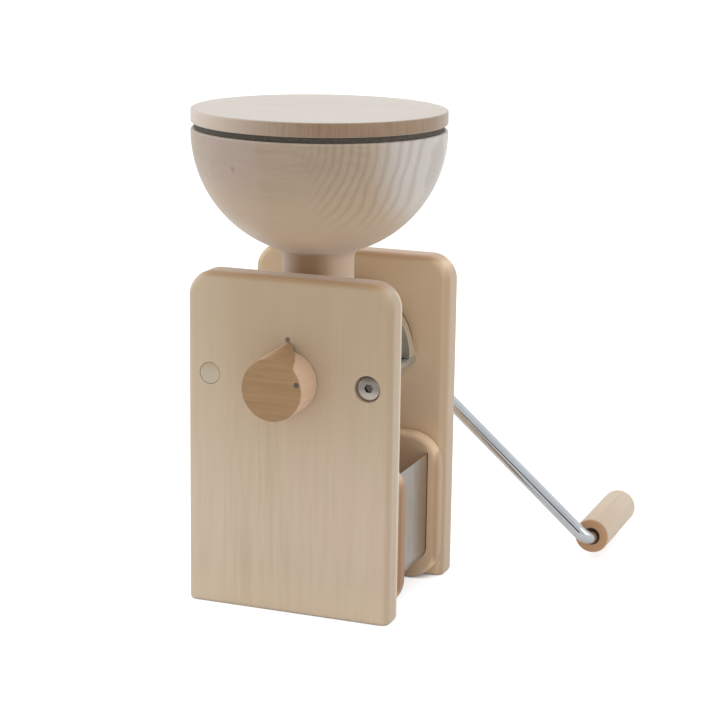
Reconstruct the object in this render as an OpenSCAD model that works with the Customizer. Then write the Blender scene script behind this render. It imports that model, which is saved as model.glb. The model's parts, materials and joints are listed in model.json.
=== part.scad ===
// Hand grain mill. Two upright boards carry a pair of grinding stones on a cranked shaft,
// with a turned hopper above them and a flour drawer below.
// Millimetres, +Z up. The origin is on the table, in the middle between the boards.
// The adjusting knob is on the front (-Y), the crank on the back (+Y).

/* [Boards] */
// Width of the two upright boards
board_w = 162; // [150:1:200]
// Height of the boards
board_h = 256; // [240:1:300]
// Thickness of the boards
board_t = 25; // [22:1:32]
// Radius of the boards' top corners
board_corner_r = 20; // [12:1:35]
// Round-over along the boards' edges
board_edge_r = 6; // [2:0.5:9]
// Round-over along the boards' lower ends
foot_edge_r = 2.5; // [0.5:0.5:5]
// Free space between the front board and the hopper's neck
neck_room = 6; // [4:0.5:20]

/* [Shaft and stones] */
// Height of the shaft above the table
axis_z = 179; // [172:1:190]
// Diameter of the main shaft
shaft_d = 14; // [12:0.5:16]
// Diameter of the two grinding stones
stone_d = 88; // [76:1:94]
// Thickness of each grinding stone
stone_t = 10; // [8:0.5:14]
// Distance between the stones as the knob stands
stone_gap = 0.8; // [0.7:0.1:1.2]
// Diameter of the stones' eye and of the feed barrel's bore
eye_d = 34; // [30:1:36]
// Furrows dressed into each stone
furrow_count = 10; // [6:1:16]
// Thickness of the disc behind the turning stone
carrier_t = 3.5; // [2.5:0.5:6]
// Room behind that disc for its boss, the spring and the bush's flange
rear_room = 11.7; // [11:0.1:16]

/* [Stone housing] */
// Free ring around the stones inside the housing
stone_room = 2.5; // [1.5:0.5:5]
// Wall of the housing
drum_wall = 2; // [1.5:0.5:3]
// Front wall of the housing, which carries the still stone
drum_front_t = 3; // [2:0.5:5]
// Width of the raised rim round the upper half of the housing
rim_w = 7.5; // [4:0.5:12]
// Depth of that rim along the shaft
rim_t = 11.5; // [6:0.5:16]
// Shadow gap between the rim and the back board
rim_gap = 5; // [2:0.5:8]
// Free height between the housing and the drawer
drawer_headroom = 12.1; // [8:0.1:20]

/* [Hopper and lid] */
// Radius of the bowl at its rim, and of the lid
bowl_r = 95; // [80:1:110]
// Height of the bowl's rim above the boards
bowl_rise = 102.5; // [96:0.5:120]
// Wall of the bowl
bowl_wall = 9; // [6:0.5:12]
// Height of the bevel at the bowl's rim, above the middle of its outer curve
rim_bevel = 1.5; // [0.5:0.5:4]
// Outer diameter of the neck
neck_d = 54; // [50:1:58]
// Diameter of the grain hole in the neck
throat_d = 28; // [22:1:30]
// Diameter of the neck's spigot, which stands in the inlet socket
spigot_d = 38; // [36:1:40]
// Length of the spigot
spigot_len = 23.5; // [15:0.5:26]
// Fillet between the neck and the bowl
neck_fillet_r = 9; // [5:0.5:14]
// Thickness of the lid
lid_t = 10.5; // [8:0.1:16]
// Height of the sealing ring under the lid
lid_ring_t = 4.3; // [2:0.1:6]
// How far the lid's plug reaches down into the bowl
lid_plug = 8; // [4:0.5:14]

/* [Inlet] */
// Height of the inlet socket's top above the shaft
inlet_rise = 53; // [48:0.5:58]
// Wall of the inlet socket
socket_wall = 5.3; // [3:0.1:6]
// Wall of the feed barrel
barrel_wall = 7; // [4:0.5:9]
// Diameter of the flange on the front board
flange_d = 72; // [68:1:84]
// Thickness of that flange
flange_t = 6; // [4:0.5:8]
// Turns of the feed screw
auger_turns = 2.5; // [1.5:0.5:4]

/* [Tie rods] */
// Diameter of the rods that hold the boards apart
tie_d = 7; // [6.5:0.5:8]
// Drop of the rods below the shaft, where they lie under the ends of the housing's rim
tie_drop = 4.5; // [4:0.5:6]
// How far the front bolts lie outside the rods
bolt_offset = 10; // [8:0.5:12]
// Diameter of the bolts' and cap nuts' heads
cap_head_d = 17.5; // [14:0.5:19]
// Diameter of the recess that each head lies in
cap_recess_d = 20; // [19.5:0.5:24]
// Depth of that recess
cap_recess = 5.5; // [3:0.5:6]
// Diameter of the left front bolt's plain head, which fills its recess
plain_head_d = 16; // [14:0.5:18]

/* [Adjusting knob] */
// Radius of the knob
knob_r = 23.5; // [18:0.5:26]
// Length of the knob
knob_len = 30.2; // [20:0.1:36]
// Distance from the shaft's axis to the pointer's tip
pointer_reach = 29.5; // [28:0.5:36]
// Angle of the pointer from upright, clockwise as seen from the front
pointer_turn = 3; // [-30:1:30]
// Free space between the knob and the front board
knob_gap = 0.8; // [0.7:0.1:2]
// Diameter of the adjusting spindle
spindle_d = 12; // [10:0.5:14]

/* [Crank] */
// Radius of the crank, from the shaft to the grip's pin
crank_r = 239; // [180:1:260]
// Angle of the crank below the horizontal
crank_angle = 41; // [0:1:60]
// Diameter of the crank rod
rod_d = 11; // [9:0.5:13]
// Radius of the rod's two bends
rod_bend_r = 11; // [10:0.5:20]
// Distance of the crank arm behind the back board
crank_standoff = 44; // [40:1:60]
// Diameter of the crank hub
hub_d = 28; // [24:1:36]
// Diameter of the grip
grip_d = 28; // [24:0.5:36]
// Length of the grip
grip_len = 94; // [70:1:120]

/* [Drawer] */
// Thickness of the drawer's wooden ends
end_t = 14; // [12:0.5:18]
// Corner radius of the wooden ends
end_corner_r = 26; // [16:1:36]
// Round-over along the edges of the wooden ends
end_edge_r = 4; // [1.5:0.5:5]
// Thickness of the drawer's steel sheet
sheet_t = 1; // [0.6:0.1:1.6]
// Inset of the sheet from the sides of the wooden ends
sheet_inset = 9; // [5:0.5:14]
// Drop of the sheet's upper edge below the wooden ends
sheet_drop = 14.4; // [6:0.1:24]
// Height of the sheet's floor above the table
sheet_lift = 15; // [2:0.5:20]
// Outer radius of the sheet's lower bends
sheet_bend_r = 13; // [8:1:36]
// Depth of the grooves that hold the sheet
groove_depth = 4; // [2:0.5:6]

/* [Hidden] */
$fn = 64;
// Facets of the rounded plates
plate_fn = 32;
// Steps of a quarter round along an edge
edge_steps = 5;
foot_round = min(foot_edge_r, board_edge_r - 0.5);
// Overlap that keeps a cut clear of a face
cut = 1;
// Radial clearance of shafts, pins and seated pieces
fit = 0.05;
// Clearance of the drawer at the boards and above the table
slide_gap = 0.6;
drawer_lift = 0.5;
// Free space between the neck and the housing
hopper_clear = 1;

// Places along the shaft
housing_len = drum_front_t + 2 * stone_t + stone_gap + carrier_t + rear_room;
board_gap = neck_room + neck_d + hopper_clear + housing_len;
y_in = board_gap / 2;
y_out = y_in + board_t;
drum_front = y_in - housing_len;
still_y = drum_front + drum_front_t;
turning_y = still_y + stone_t + stone_gap;
carrier_y = turning_y + stone_t;
seam_y = still_y + stone_t + stone_gap / 2;
hopper_y = drum_front - hopper_clear - neck_d / 2;

// Housing
drum_r_in = stone_d / 2 + stone_room;
drum_r = drum_r_in + drum_wall;
rim_r = drum_r + rim_w;
rim_y = y_in - rim_gap - rim_t;
rim_rest = 0.3;
rim_foot = tie_drop - tie_d / 2 - rim_rest;
drum_flange_w = 10.5;
slot_w = 54;
slot_d = 18;
chute_wall = 1.2;
chute_clear = 1;
housing_screw_d = 4;
housing_screw_head = 7;
housing_screw_len = 14;
screw_head_t = 2.5;
housing_screw_r = drum_r_in - drum_flange_w / 2;

// Bushes, spring and thrust pieces
bush_wall = 5;
bush_flange_t = 3;
bush_flange_w = 10;
bush_flange_r = shaft_d / 2 + bush_flange_w;
carrier_boss = 1.7;
carrier_boss_w = 8;
carrier_boss_r = shaft_d / 2 + carrier_boss_w;
carrier_sleeve = 4;
sleeve_d = shaft_d + 2 * carrier_sleeve;
spring_count = 3;
spring_room = 0.6;
spring_t = 0.9;
cup_d = 20;
cup_len = 8;
thread_len = 13;
cup_room = 1;
ball_d = 8;
ball_stand = 1.5;
adjuster_wall = 3;
adjuster_d = cup_d + 2 * adjuster_wall;
cup_y = -y_out + thread_len + cup_room;
ball_y = cup_y + cup_len + ball_stand;
shaft_y0 = ball_y + ball_stand;
hub_room = 1.5;
hub_y = y_out + hub_room;
shaft_grip = 13.5;
shaft_y1 = hub_y + shaft_grip;

// Inlet
seat_z = axis_z + inlet_rise;
socket_r = spigot_d / 2 + fit + socket_wall;
socket_depth = spigot_len + 0.5;
barrel_r = eye_d / 2 + barrel_wall;
flange_screw_r = (barrel_r + flange_d / 2) / 2;
inlet_screw_d = 4;
inlet_screw_head = 7;
auger_room = 1.5;
auger_r = eye_d / 2 - auger_room;
auger_core_wall = 2;
auger_core_r = shaft_d / 2 + auger_core_wall;
auger_flight = 5;
front_bush_flange = 2;
front_bush_wall = 3;
front_bush_collar = 3;
barrel_spigot_step = 1;
auger_end_room = 3;
auger_y0 = -y_in + flange_t + front_bush_flange + auger_end_room;
auger_y1 = turning_y - 1;

// Hopper
rim_z = board_h + bowl_rise;
bowl_flat = 3;
throat_step = 6;
bowl_arc_r = bowl_r - bowl_flat;
bowl_in_r = bowl_arc_r - bowl_wall;
neck_r = neck_d / 2;
rim_round = 1.5;
bowl_mid = rim_z - rim_bevel;
// The fillet's centre lies neck_fillet_r outside both the neck and the bowl
fillet_x = neck_r + neck_fillet_r;
fillet_z = bowl_mid - sqrt(pow(bowl_arc_r + neck_fillet_r, 2) - pow(fillet_x - bowl_flat, 2));
fillet_end = atan2(bowl_mid - fillet_z, bowl_flat - fillet_x);
bowl_start = atan2(fillet_z - bowl_mid, fillet_x - bowl_flat);
// Angle at which the bowl's inner curve meets the grain hole
throat_angle = -acos((throat_d / 2 - bowl_flat) / bowl_in_r);
lid_z = rim_z + lid_ring_t;
lid_plug_clear = 0.9;
lid_ring_w = 6;
lid_ring_inset = 2.5;
lid_round = 1.2;

// Tie rods, their cap nuts and the front bolts
// The rods run close along the drum
tie_clear = 0.5;
tie_x = drum_r + tie_clear + tie_d / 2;
bolt_x = tie_x + bolt_offset;
bolt_d = 6;
plain_gap = 0.2;
plain_sink = 0.1;
bolt_socket_depth = 1.9;
ear_r = 11;
tie_thread_d = 6;
tie_grip = 20;
cap_head_t = 2.5;
cap_barrel_d = 9;
cap_barrel = 12;
cap_socket = 6;
cap_socket_depth = 3.5;
cap_barrel_room = 0.5;
cap_web = 1;

// Knob
knob_back = -y_out - knob_gap;
knob_face = knob_back - knob_len;
knob_round = 1.2;
pointer_tip_r = 3.4;
pointer_tip_t = 1.6;
spindle_seat = 18;
knob_pin_d = 3.5;
knob_pin_len = 6;
knob_pin_angle = 16;
knob_pin_inset = 2.8;
mark_d = 4;
mark_len = 10;
mark_gap = 0.6;
mark_z = axis_z + pointer_reach + mark_gap + mark_d / 2 - 1;

// Crank
arm_y = y_out + crank_standoff;
stub_room = 1;
hub_end = arm_y - rod_bend_r;
hub_screw_d = 6;
hub_screw_socket = 3;
grip_gap = 1;
grip_y0 = arm_y + rod_bend_r + grip_gap;
grip_recess = 16;
grip_recess_d = 18;
grip_play = 0.3;
pin_end = grip_y0 + grip_len - grip_recess + grip_play;
grip_mouth = 1.5;
washer_d = 16;
washer_t = 1.5;
grip_screw_d = 5;
grip_screw_head = 10;
grip_screw_head_t = 3.5;
grip_screw_len = 14;

// Drawer
end_h = axis_z - drum_r - drawer_headroom;
end_y = y_in - slide_gap - end_t;
sheet_half = board_w / 2 - sheet_inset;
sheet_top = end_h - sheet_drop;
groove_fit = 0.1;

wood = [0.83, 0.74, 0.61];
knob_wood = [0.72, 0.57, 0.42];
steel = [0.72, 0.74, 0.76];
dark_steel = [0.35, 0.35, 0.36];
bronze = [0.72, 0.56, 0.33];
casting = [0.66, 0.67, 0.68];
stone = [0.62, 0.60, 0.56];
seal_grey = [0.42, 0.42, 0.38];

// Points of an arc from angle a0 to a1 about a centre
function arc(centre, r, a0, a1, steps) =
    [for (i = [0:steps]) let (a = a0 + (a1 - a0) * i / steps) centre + r * [cos(a), sin(a)]];

// Puts a piece drawn along Z on the shaft's axis, starting at y
module on_axis(y) {
    translate([0, y, axis_z]) rotate([-90, 0, 0]) children();
}

// Puts a piece drawn along Z on both tie rods' axes, starting at y
module on_ties(y) {
    for (side = [-1, 1]) translate([side * tie_x, y, axis_z - tie_drop]) rotate([-90, 0, 0]) children();
}

// Puts a piece drawn along Z on one front bolt's axis (-1 left, 1 right), starting at y
module on_bolt(side, y) {
    translate([side * bolt_x, y, axis_z]) rotate([-90, 0, 0]) children();
}

// The same on both front bolts' axes
module on_bolts(y) {
    for (side = [-1, 1]) on_bolt(side, y) children();
}

// The crank's own frame: X along the arm, Z along the shaft
module on_crank() {
    on_axis(0) rotate([0, 0, crank_angle]) children();
}

// The grip's own frame: Z along its pin
module on_grip(y) {
    on_crank() translate([crank_r, 0, y]) children();
}

// A flat disc along Y with rounded edges, centred on its thickness
module edge_disc(r, t, edge) {
    profile = concat(
        [[0, -t / 2]],
        arc([r - edge, edge - t / 2], edge, -90, 0, edge_steps),
        arc([r - edge, t / 2 - edge], edge, 0, 90, edge_steps),
        [[0, t / 2]]
    );
    rotate([90, 0, 0]) rotate_extrude($fn = plate_fn) polygon(profile);
}

// One corner of a board's foot: a round post with a rounded lower end
module foot_post() {
    profile = concat(
        [[0, 0]],
        arc([board_edge_r - foot_round, foot_round], foot_round, -90, 0, edge_steps),
        [[board_edge_r, board_edge_r], [0, board_edge_r]]
    );
    rotate_extrude($fn = 4 * edge_steps) polygon(profile);
}

// An upright board with rounded edges, large top corners and a flat foot
module board_blank(y_mid) {
    translate([0, y_mid, 0]) hull() for (side = [-1, 1]) {
        translate([side * (board_w / 2 - board_corner_r), 0, board_h - board_corner_r])
            edge_disc(board_corner_r, board_t, board_edge_r);
        for (face = [-1, 1])
            translate([side * (board_w / 2 - board_edge_r), face * (board_t / 2 - board_edge_r), 0])
                foot_post();
    }
}

// Stepped bore for a cap nut, drawn from the board's outer face inwards along Z
module cap_bore() {
    translate([0, 0, -cut]) cylinder(d = cap_recess_d, h = cap_recess + cut);
    cylinder(d = cap_barrel_d + 2 * fit, h = cap_recess + cap_barrel + cut);
    cylinder(d = tie_thread_d + 4 * fit, h = board_t + cut);
}

// Bolt or nut drawn from its head's outer face inwards along Z, with a hexagon socket
module socket_head(shank_d, shank, depth) {
    round = 0.8;
    head = concat(
        [[0, 0]],
        arc([cap_head_d / 2 - round, round], round, -90, 0, 4),
        [[cap_head_d / 2, cap_head_t], [0, cap_head_t]]
    );
    difference() {
        union() {
            rotate_extrude() polygon(head);
            cylinder(d = shank_d, h = cap_head_t + shank);
        }
        translate([0, 0, -cut]) cylinder(d = cap_socket / cos(30), h = depth + cut, $fn = 6);
    }
}

// Cap nut: the same head with a threaded barrel
module cap_nut() {
    difference() {
        socket_head(cap_barrel_d, cap_barrel - cap_barrel_room, cap_socket_depth);
        translate([0, 0, cap_socket_depth + cap_web])
            cylinder(d = tie_thread_d + 2 * fit, h = cap_barrel + cut);
    }
}

// Places for screws in a circle about the shaft
module screw_circle(y, r, count, start) {
    for (i = [0:count - 1])
        on_axis(y) rotate([0, 0, start + 360 * i / count]) translate([r, 0, 0]) children();
}

// Pan-head screw drawn head first along Z
module pan_screw(d, head_d, len) {
    cylinder(d = head_d, h = screw_head_t);
    cylinder(d = d, h = screw_head_t + len);
}

module inlet_screw_places() {
    screw_circle(-y_in + flange_t + screw_head_t, flange_screw_r, 4, 45) rotate([180, 0, 0]) children();
}

module housing_screw_places() {
    screw_circle(y_in - bush_flange_t - screw_head_t, housing_screw_r, 4, 45) children();
}

module front_board() {
    color(wood) difference() {
        board_blank(-y_in - board_t / 2);
        on_axis(-y_out - cut) cylinder(d = adjuster_d, h = board_t + 2 * cut);
        on_bolt(1, -y_out - cut) cylinder(d = cap_recess_d, h = cap_recess + cut);
        on_bolt(-1, -y_out - cut) cylinder(d = plain_head_d + 2 * plain_gap, h = cap_recess + cut);
        on_bolts(-y_out) cylinder(d = bolt_d + 2 * fit, h = board_t + cut);
        translate([0, -y_out - cut, mark_z]) rotate([-90, 0, 0]) cylinder(d = mark_d, h = mark_len + cut);
        inlet_screw_places() cylinder(d = inlet_screw_d, h = screw_head_t + flange_t + housing_screw_len);
    }
}

module back_board() {
    color(wood) difference() {
        board_blank(y_in + board_t / 2);
        on_axis(y_in - cut) cylinder(d = shaft_d + 2 * bush_wall, h = board_t + 2 * cut);
        on_ties(y_out) rotate([180, 0, 0]) cap_bore();
        housing_screw_places()
            cylinder(d = housing_screw_d, h = screw_head_t + bush_flange_t + housing_screw_len);
    }
}

// Each rod is screwed into an ear of the inlet body in front and through the back board behind
module tie_rods() {
    color(steel) {
        on_ties(-y_in + flange_t) cylinder(d = tie_d, h = board_gap - flange_t);
        on_ties(-y_in) cylinder(d = tie_thread_d, h = board_gap + tie_grip - cap_recess);
    }
}

// Bolts through the front board into the ears of the inlet body: the right one has a hexagon socket,
// the left one a plain head almost flush with the board
module front_bolts() {
    color(steel) {
        on_bolt(1, -y_out + cap_recess - cap_head_t)
            socket_head(bolt_d, board_t - cap_recess + flange_t, bolt_socket_depth);
        on_bolt(-1, -y_out + plain_sink) cylinder(d = plain_head_d, h = cap_recess - plain_sink);
        on_bolt(-1, -y_out + plain_sink) cylinder(d = bolt_d, h = board_t - plain_sink + flange_t);
    }
}

module rear_cap_nuts() {
    color(steel) on_ties(y_out - cap_recess + cap_head_t) rotate([180, 0, 0]) cap_nut();
}

// Casting with a socket for the hopper's neck, a barrel for the feed screw and two ears
module inlet_body() {
    color(casting) difference() {
        union() {
            on_axis(-y_in) cylinder(d = flange_d, h = flange_t);
            on_axis(-y_in) hull() for (side = [-1, 1])
                translate([side * (tie_x + bolt_x) / 2, tie_drop / 2, 0]) cylinder(r = ear_r, h = flange_t);
            on_axis(-y_in) cylinder(r = barrel_r, h = y_in + drum_front);
            on_axis(drum_front - cut) cylinder(r = barrel_r - barrel_spigot_step, h = drum_front_t + cut);
            translate([0, hopper_y, axis_z]) cylinder(r = socket_r, h = inlet_rise);
        }
        on_axis(-y_in + flange_t) cylinder(d = eye_d, h = y_in + drum_front);
        on_axis(-y_in - cut) cylinder(r = shaft_d / 2 + front_bush_wall, h = flange_t + 2 * cut);
        translate([0, hopper_y, axis_z]) cylinder(d = throat_d, h = inlet_rise);
        translate([0, hopper_y, seat_z - socket_depth])
            cylinder(d = spigot_d + 2 * fit, h = socket_depth + cut);
        inlet_screw_places() cylinder(d = inlet_screw_d + 2 * fit, h = screw_head_t + flange_t + cut);
        on_bolts(-y_in - cut) cylinder(d = bolt_d + 2 * fit, h = flange_t + 2 * cut);
        on_ties(-y_in - cut) cylinder(d = tie_thread_d + 2 * fit, h = flange_t + 2 * cut);
    }
}

module inlet_screws() {
    color(steel) inlet_screw_places()
        pan_screw(inlet_screw_d, inlet_screw_head, flange_t + housing_screw_len);
}

module front_bush() {
    bush_r = shaft_d / 2 + front_bush_wall;
    color(bronze) on_axis(-y_in) difference() {
        union() {
            cylinder(r = bush_r - fit, h = flange_t);
            translate([0, 0, flange_t]) cylinder(r = bush_r + front_bush_collar, h = front_bush_flange);
        }
        translate([0, 0, -cut]) cylinder(d = shaft_d + 2 * fit, h = flange_t + front_bush_flange + 2 * cut);
    }
}

// One-start screw that carries the grain along the barrel into the stones' eye
module feed_screw() {
    length = auger_y1 - auger_y0;
    color(steel) on_axis(auger_y0) difference() {
        linear_extrude(height = length, twist = -360 * auger_turns, slices = 14 * auger_turns, $fn = 18) {
            circle(r = auger_core_r);
            translate([0, -auger_flight / 2]) square([auger_r, auger_flight]);
        }
        translate([0, 0, -cut]) cylinder(d = shaft_d + 2 * fit, h = length + 2 * cut);
    }
}

// Drum round the stones, with a raised rim over its upper half and a flour slot below
module stone_housing() {
    color(steel) difference() {
        union() {
            on_axis(drum_front) cylinder(r = drum_r, h = housing_len);
            intersection() {
                on_axis(rim_y) cylinder(r = rim_r, h = rim_t);
                translate([-2 * rim_r, rim_y - cut, axis_z - rim_foot])
                    cube([4 * rim_r, rim_t + 2 * cut, 2 * rim_r]);
            }
        }
        on_axis(still_y) cylinder(r = drum_r_in, h = housing_len - drum_front_t - bush_flange_t);
        on_axis(drum_front - cut)
            cylinder(r = barrel_r - barrel_spigot_step + fit, h = drum_front_t + 2 * cut);
        on_axis(y_in - bush_flange_t - cut)
            cylinder(r = drum_r_in - drum_flange_w, h = bush_flange_t + 2 * cut);
        translate([-slot_w / 2, seam_y - slot_d / 2, axis_z - drum_r - cut]) cube([slot_w, slot_d, drum_r]);
        housing_screw_places()
            cylinder(d = housing_screw_d + 2 * fit, h = screw_head_t + bush_flange_t + cut);
    }
}

module housing_screws() {
    color(steel) housing_screw_places()
        pan_screw(housing_screw_d, housing_screw_head, bush_flange_t + housing_screw_len);
}

// A ring of stone with its furrowed face at the top of the drawing
module grinding_stone(bore_d) {
    furrow_w = 4;
    furrow_depth = 1.2;
    furrow_land = 6;
    difference() {
        cylinder(d = stone_d, h = stone_t);
        translate([0, 0, -cut]) cylinder(d = bore_d, h = stone_t + 2 * cut);
        for (i = [0:furrow_count - 1]) rotate([0, 0, 360 * i / furrow_count])
            translate([bore_d / 2 - cut, furrow_w, stone_t - furrow_depth])
                cube([stone_d / 2 - bore_d / 2 - furrow_land, furrow_w, furrow_depth + cut]);
    }
}

module still_stone() {
    color(stone) on_axis(still_y) grinding_stone(eye_d);
}

module turning_stone() {
    color(stone) on_axis(carrier_y) rotate([180, 0, 0]) grinding_stone(sleeve_d);
}

// Disc and boss that fix the turning stone to the shaft
module stone_carrier() {
    color(steel) on_axis(carrier_y) difference() {
        union() {
            cylinder(d = stone_d, h = carrier_t);
            cylinder(r = carrier_boss_r, h = carrier_t + carrier_boss);
            translate([0, 0, -stone_t]) cylinder(d = sleeve_d - 2 * fit, h = stone_t);
        }
        translate([0, 0, -stone_t - cut])
            cylinder(d = shaft_d + 2 * fit, h = stone_t + carrier_t + carrier_boss + 2 * cut);
    }
}

// Cupped spring washers, turned alternately, between the carrier's boss and the rear bush
module spring_discs() {
    y0 = carrier_y + carrier_t + carrier_boss + spring_room;
    pitch = (y_in - bush_flange_t - y0) / spring_count;
    r0 = shaft_d / 2 + 0.6;
    r1 = carrier_boss_r;
    color(dark_steel) for (i = [0:spring_count - 1]) on_axis(y0 + pitch * i) {
        rise = pitch - spring_t - fit;
        first = i % 2 == 0 ? 0 : rise;
        rotate_extrude()
            polygon([[r0, first], [r1, rise - first], [r1, rise - first + spring_t], [r0, first + spring_t]]);
    }
}

module rear_bush() {
    color(bronze) on_axis(y_in - bush_flange_t) difference() {
        union() {
            cylinder(r = bush_flange_r, h = bush_flange_t);
            cylinder(r = shaft_d / 2 + bush_wall - fit, h = bush_flange_t + board_t);
        }
        translate([0, 0, -cut]) cylinder(d = shaft_d + 2 * fit, h = bush_flange_t + board_t + 2 * cut);
    }
}

// Short sheet duct from the housing's slot to just above the drawer
module flour_chute() {
    z0 = end_h + chute_clear;
    outer = [slot_w + 2 * chute_wall, slot_d + 2 * chute_wall];
    color(steel) difference() {
        translate([-outer[0] / 2, seam_y - outer[1] / 2, z0]) cube([outer[0], outer[1], axis_z - z0]);
        translate([-slot_w / 2, seam_y - slot_d / 2, z0 - cut]) cube([slot_w, slot_d, axis_z]);
        on_axis(seam_y - slot_d) cylinder(r = drum_r + fit, h = 2 * slot_d);
    }
}

module main_shaft() {
    color(steel) difference() {
        on_axis(shaft_y0) cylinder(d = shaft_d, h = shaft_y1 - shaft_y0);
        on_axis(ball_y) sphere(d = ball_d + 2 * fit);
    }
}

// Threaded insert in the front board: spindle thread in front, guide for the cup behind
module adjuster_bush() {
    color(bronze) on_axis(-y_out) difference() {
        cylinder(d = adjuster_d - 2 * fit, h = board_t);
        translate([0, 0, -cut]) cylinder(d = spindle_d + 2 * fit, h = board_t + 2 * cut);
        translate([0, 0, thread_len]) cylinder(d = cup_d + 2 * fit, h = board_t);
    }
}

module thrust_cup() {
    color(steel) difference() {
        on_axis(cup_y) cylinder(d = cup_d, h = cup_len);
        on_axis(ball_y) sphere(d = ball_d + 2 * fit);
    }
}

module thrust_ball() {
    color(steel) on_axis(ball_y) sphere(d = ball_d);
}

module adjusting_spindle() {
    y0 = knob_back - spindle_seat;
    color(steel) on_axis(y0) cylinder(d = spindle_d, h = cup_y - y0);
}

// Round knob whose face runs up and back to a pointer's tip at the board
module adjusting_knob() {
    profile = concat(
        [[0, 0]],
        arc([knob_r - knob_round, knob_round], knob_round, -90, 0, 4),
        [[knob_r, knob_len], [0, knob_len]]
    );
    color(knob_wood) difference() {
        union() {
            on_axis(knob_face) rotate_extrude() polygon(profile);
            hull() {
                on_axis(knob_back - pointer_tip_t) rotate([0, 0, pointer_turn])
                    translate([0, pointer_tip_r - pointer_reach, 0])
                    cylinder(r = pointer_tip_r, h = pointer_tip_t, $fn = plate_fn);
                on_axis(knob_face + knob_round) cylinder(r = knob_r, h = pointer_tip_t, $fn = plate_fn);
            }
        }
        on_axis(knob_back - spindle_seat) cylinder(d = spindle_d + 2 * fit, h = spindle_seat + cut);
        knob_pin_place(cut) cylinder(d = knob_pin_d + 2 * fit, h = knob_pin_len + cut);
    }
}

module knob_pin_place(proud) {
    on_axis(knob_face - proud)
        rotate([0, 0, -knob_pin_angle]) translate([knob_r - knob_pin_inset, 0, 0]) children();
}

module knob_pin() {
    color(dark_steel) knob_pin_place(0) cylinder(d = knob_pin_d, h = knob_pin_len);
}

module reference_pin() {
    color(dark_steel) translate([0, -y_out, mark_z])
        rotate([-90, 0, 0]) cylinder(d = mark_d - 2 * fit, h = mark_len);
}

// Bowl, neck and spigot turned in one piece
module hopper() {
    inner_z = rim_z - bowl_in_r * sin(-throat_angle);
    profile = concat(
        [[throat_d / 2, seat_z - spigot_len], [spigot_d / 2, seat_z - spigot_len]],
        [[spigot_d / 2, seat_z], [neck_r, seat_z]],
        arc([fillet_x, fillet_z], neck_fillet_r, 180, fillet_end, 8),
        arc([bowl_flat, bowl_mid], bowl_arc_r, bowl_start, 0, 36),
        [[bowl_r - rim_round, rim_z], [bowl_flat + bowl_in_r, rim_z]],
        arc([bowl_flat, rim_z], bowl_in_r, -2, throat_angle, 36),
        [[throat_d / 2, inner_z - throat_step]]
    );
    color(wood) translate([0, hopper_y, 0]) rotate_extrude($fn = 96) polygon(profile);
}

// Flat lid with a plug that centres it in the bowl
module lid() {
    plug_r = bowl_flat + bowl_in_r - lid_plug_clear;
    profile = concat(
        [[0, -lid_plug - lid_ring_t], [plug_r - 2, -lid_plug - lid_ring_t]],
        [[plug_r, -lid_plug - lid_ring_t + 2], [plug_r, 0]],
        arc([bowl_r - lid_round, lid_round], lid_round, -90, 0, 4),
        arc([bowl_r - lid_round, lid_t - lid_round], lid_round, 0, 90, 4),
        [[0, lid_t]]
    );
    color(wood) translate([0, hopper_y, lid_z]) rotate_extrude($fn = 96) polygon(profile);
}

module lid_ring() {
    ring_r = bowl_r - lid_ring_inset;
    color(seal_grey) translate([0, hopper_y, rim_z]) difference() {
        cylinder(r = ring_r, h = lid_ring_t);
        translate([0, 0, -cut]) cylinder(r = ring_r - lid_ring_w, h = lid_ring_t + 2 * cut);
    }
}

module hub_screw_places() {
    for (y = [(hub_y + shaft_y1) / 2, (shaft_y1 + hub_end) / 2])
        on_crank() translate([0, 0, y]) rotate([0, -90, 0]) children();
}

// Collar that joins the shaft to the crank rod
module crank_hub() {
    edge = 1.5;
    length = hub_end - hub_y;
    profile = [
        [0, 0], [hub_d / 2 - edge, 0], [hub_d / 2, edge],
        [hub_d / 2, length - edge], [hub_d / 2 - edge, length], [0, length]
    ];
    color(steel) difference() {
        on_axis(hub_y) rotate_extrude() polygon(profile);
        on_axis(hub_y - cut) cylinder(d = shaft_d + 2 * fit, h = shaft_y1 - hub_y + cut);
        on_axis(hub_y) cylinder(d = rod_d + 2 * fit, h = length + cut);
        hub_screw_places() cylinder(d = hub_screw_d, h = hub_d);
    }
}

// Socket screws that clamp the shaft and the rod, flush with the collar
module hub_screws() {
    color(dark_steel) intersection() {
        hub_screw_places() difference() {
            cylinder(d = hub_screw_d - 2 * fit, h = hub_d / 2 - 0.3);
            translate([0, 0, hub_d / 2 - 3]) cylinder(d = hub_screw_socket / cos(30), h = 3, $fn = 6);
        }
        difference() {
            on_axis(hub_y) cylinder(d = hub_d, h = hub_end - hub_y);
            on_axis(hub_y - cut) cylinder(d = shaft_d + 2 * fit, h = shaft_y1 - hub_y + cut);
            on_axis(hub_y) cylinder(d = rod_d + 2 * fit, h = hub_end - hub_y + cut);
        }
    }
}

// A quarter bend of the rod in the plane of the arm and the shaft, from angle start
module rod_bend(x, y, start) {
    translate([x, 0, y]) rotate([90, 0, 0]) rotate([0, 0, start])
        rotate_extrude(angle = 90) translate([rod_bend_r, 0]) circle(d = rod_d);
}

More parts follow.
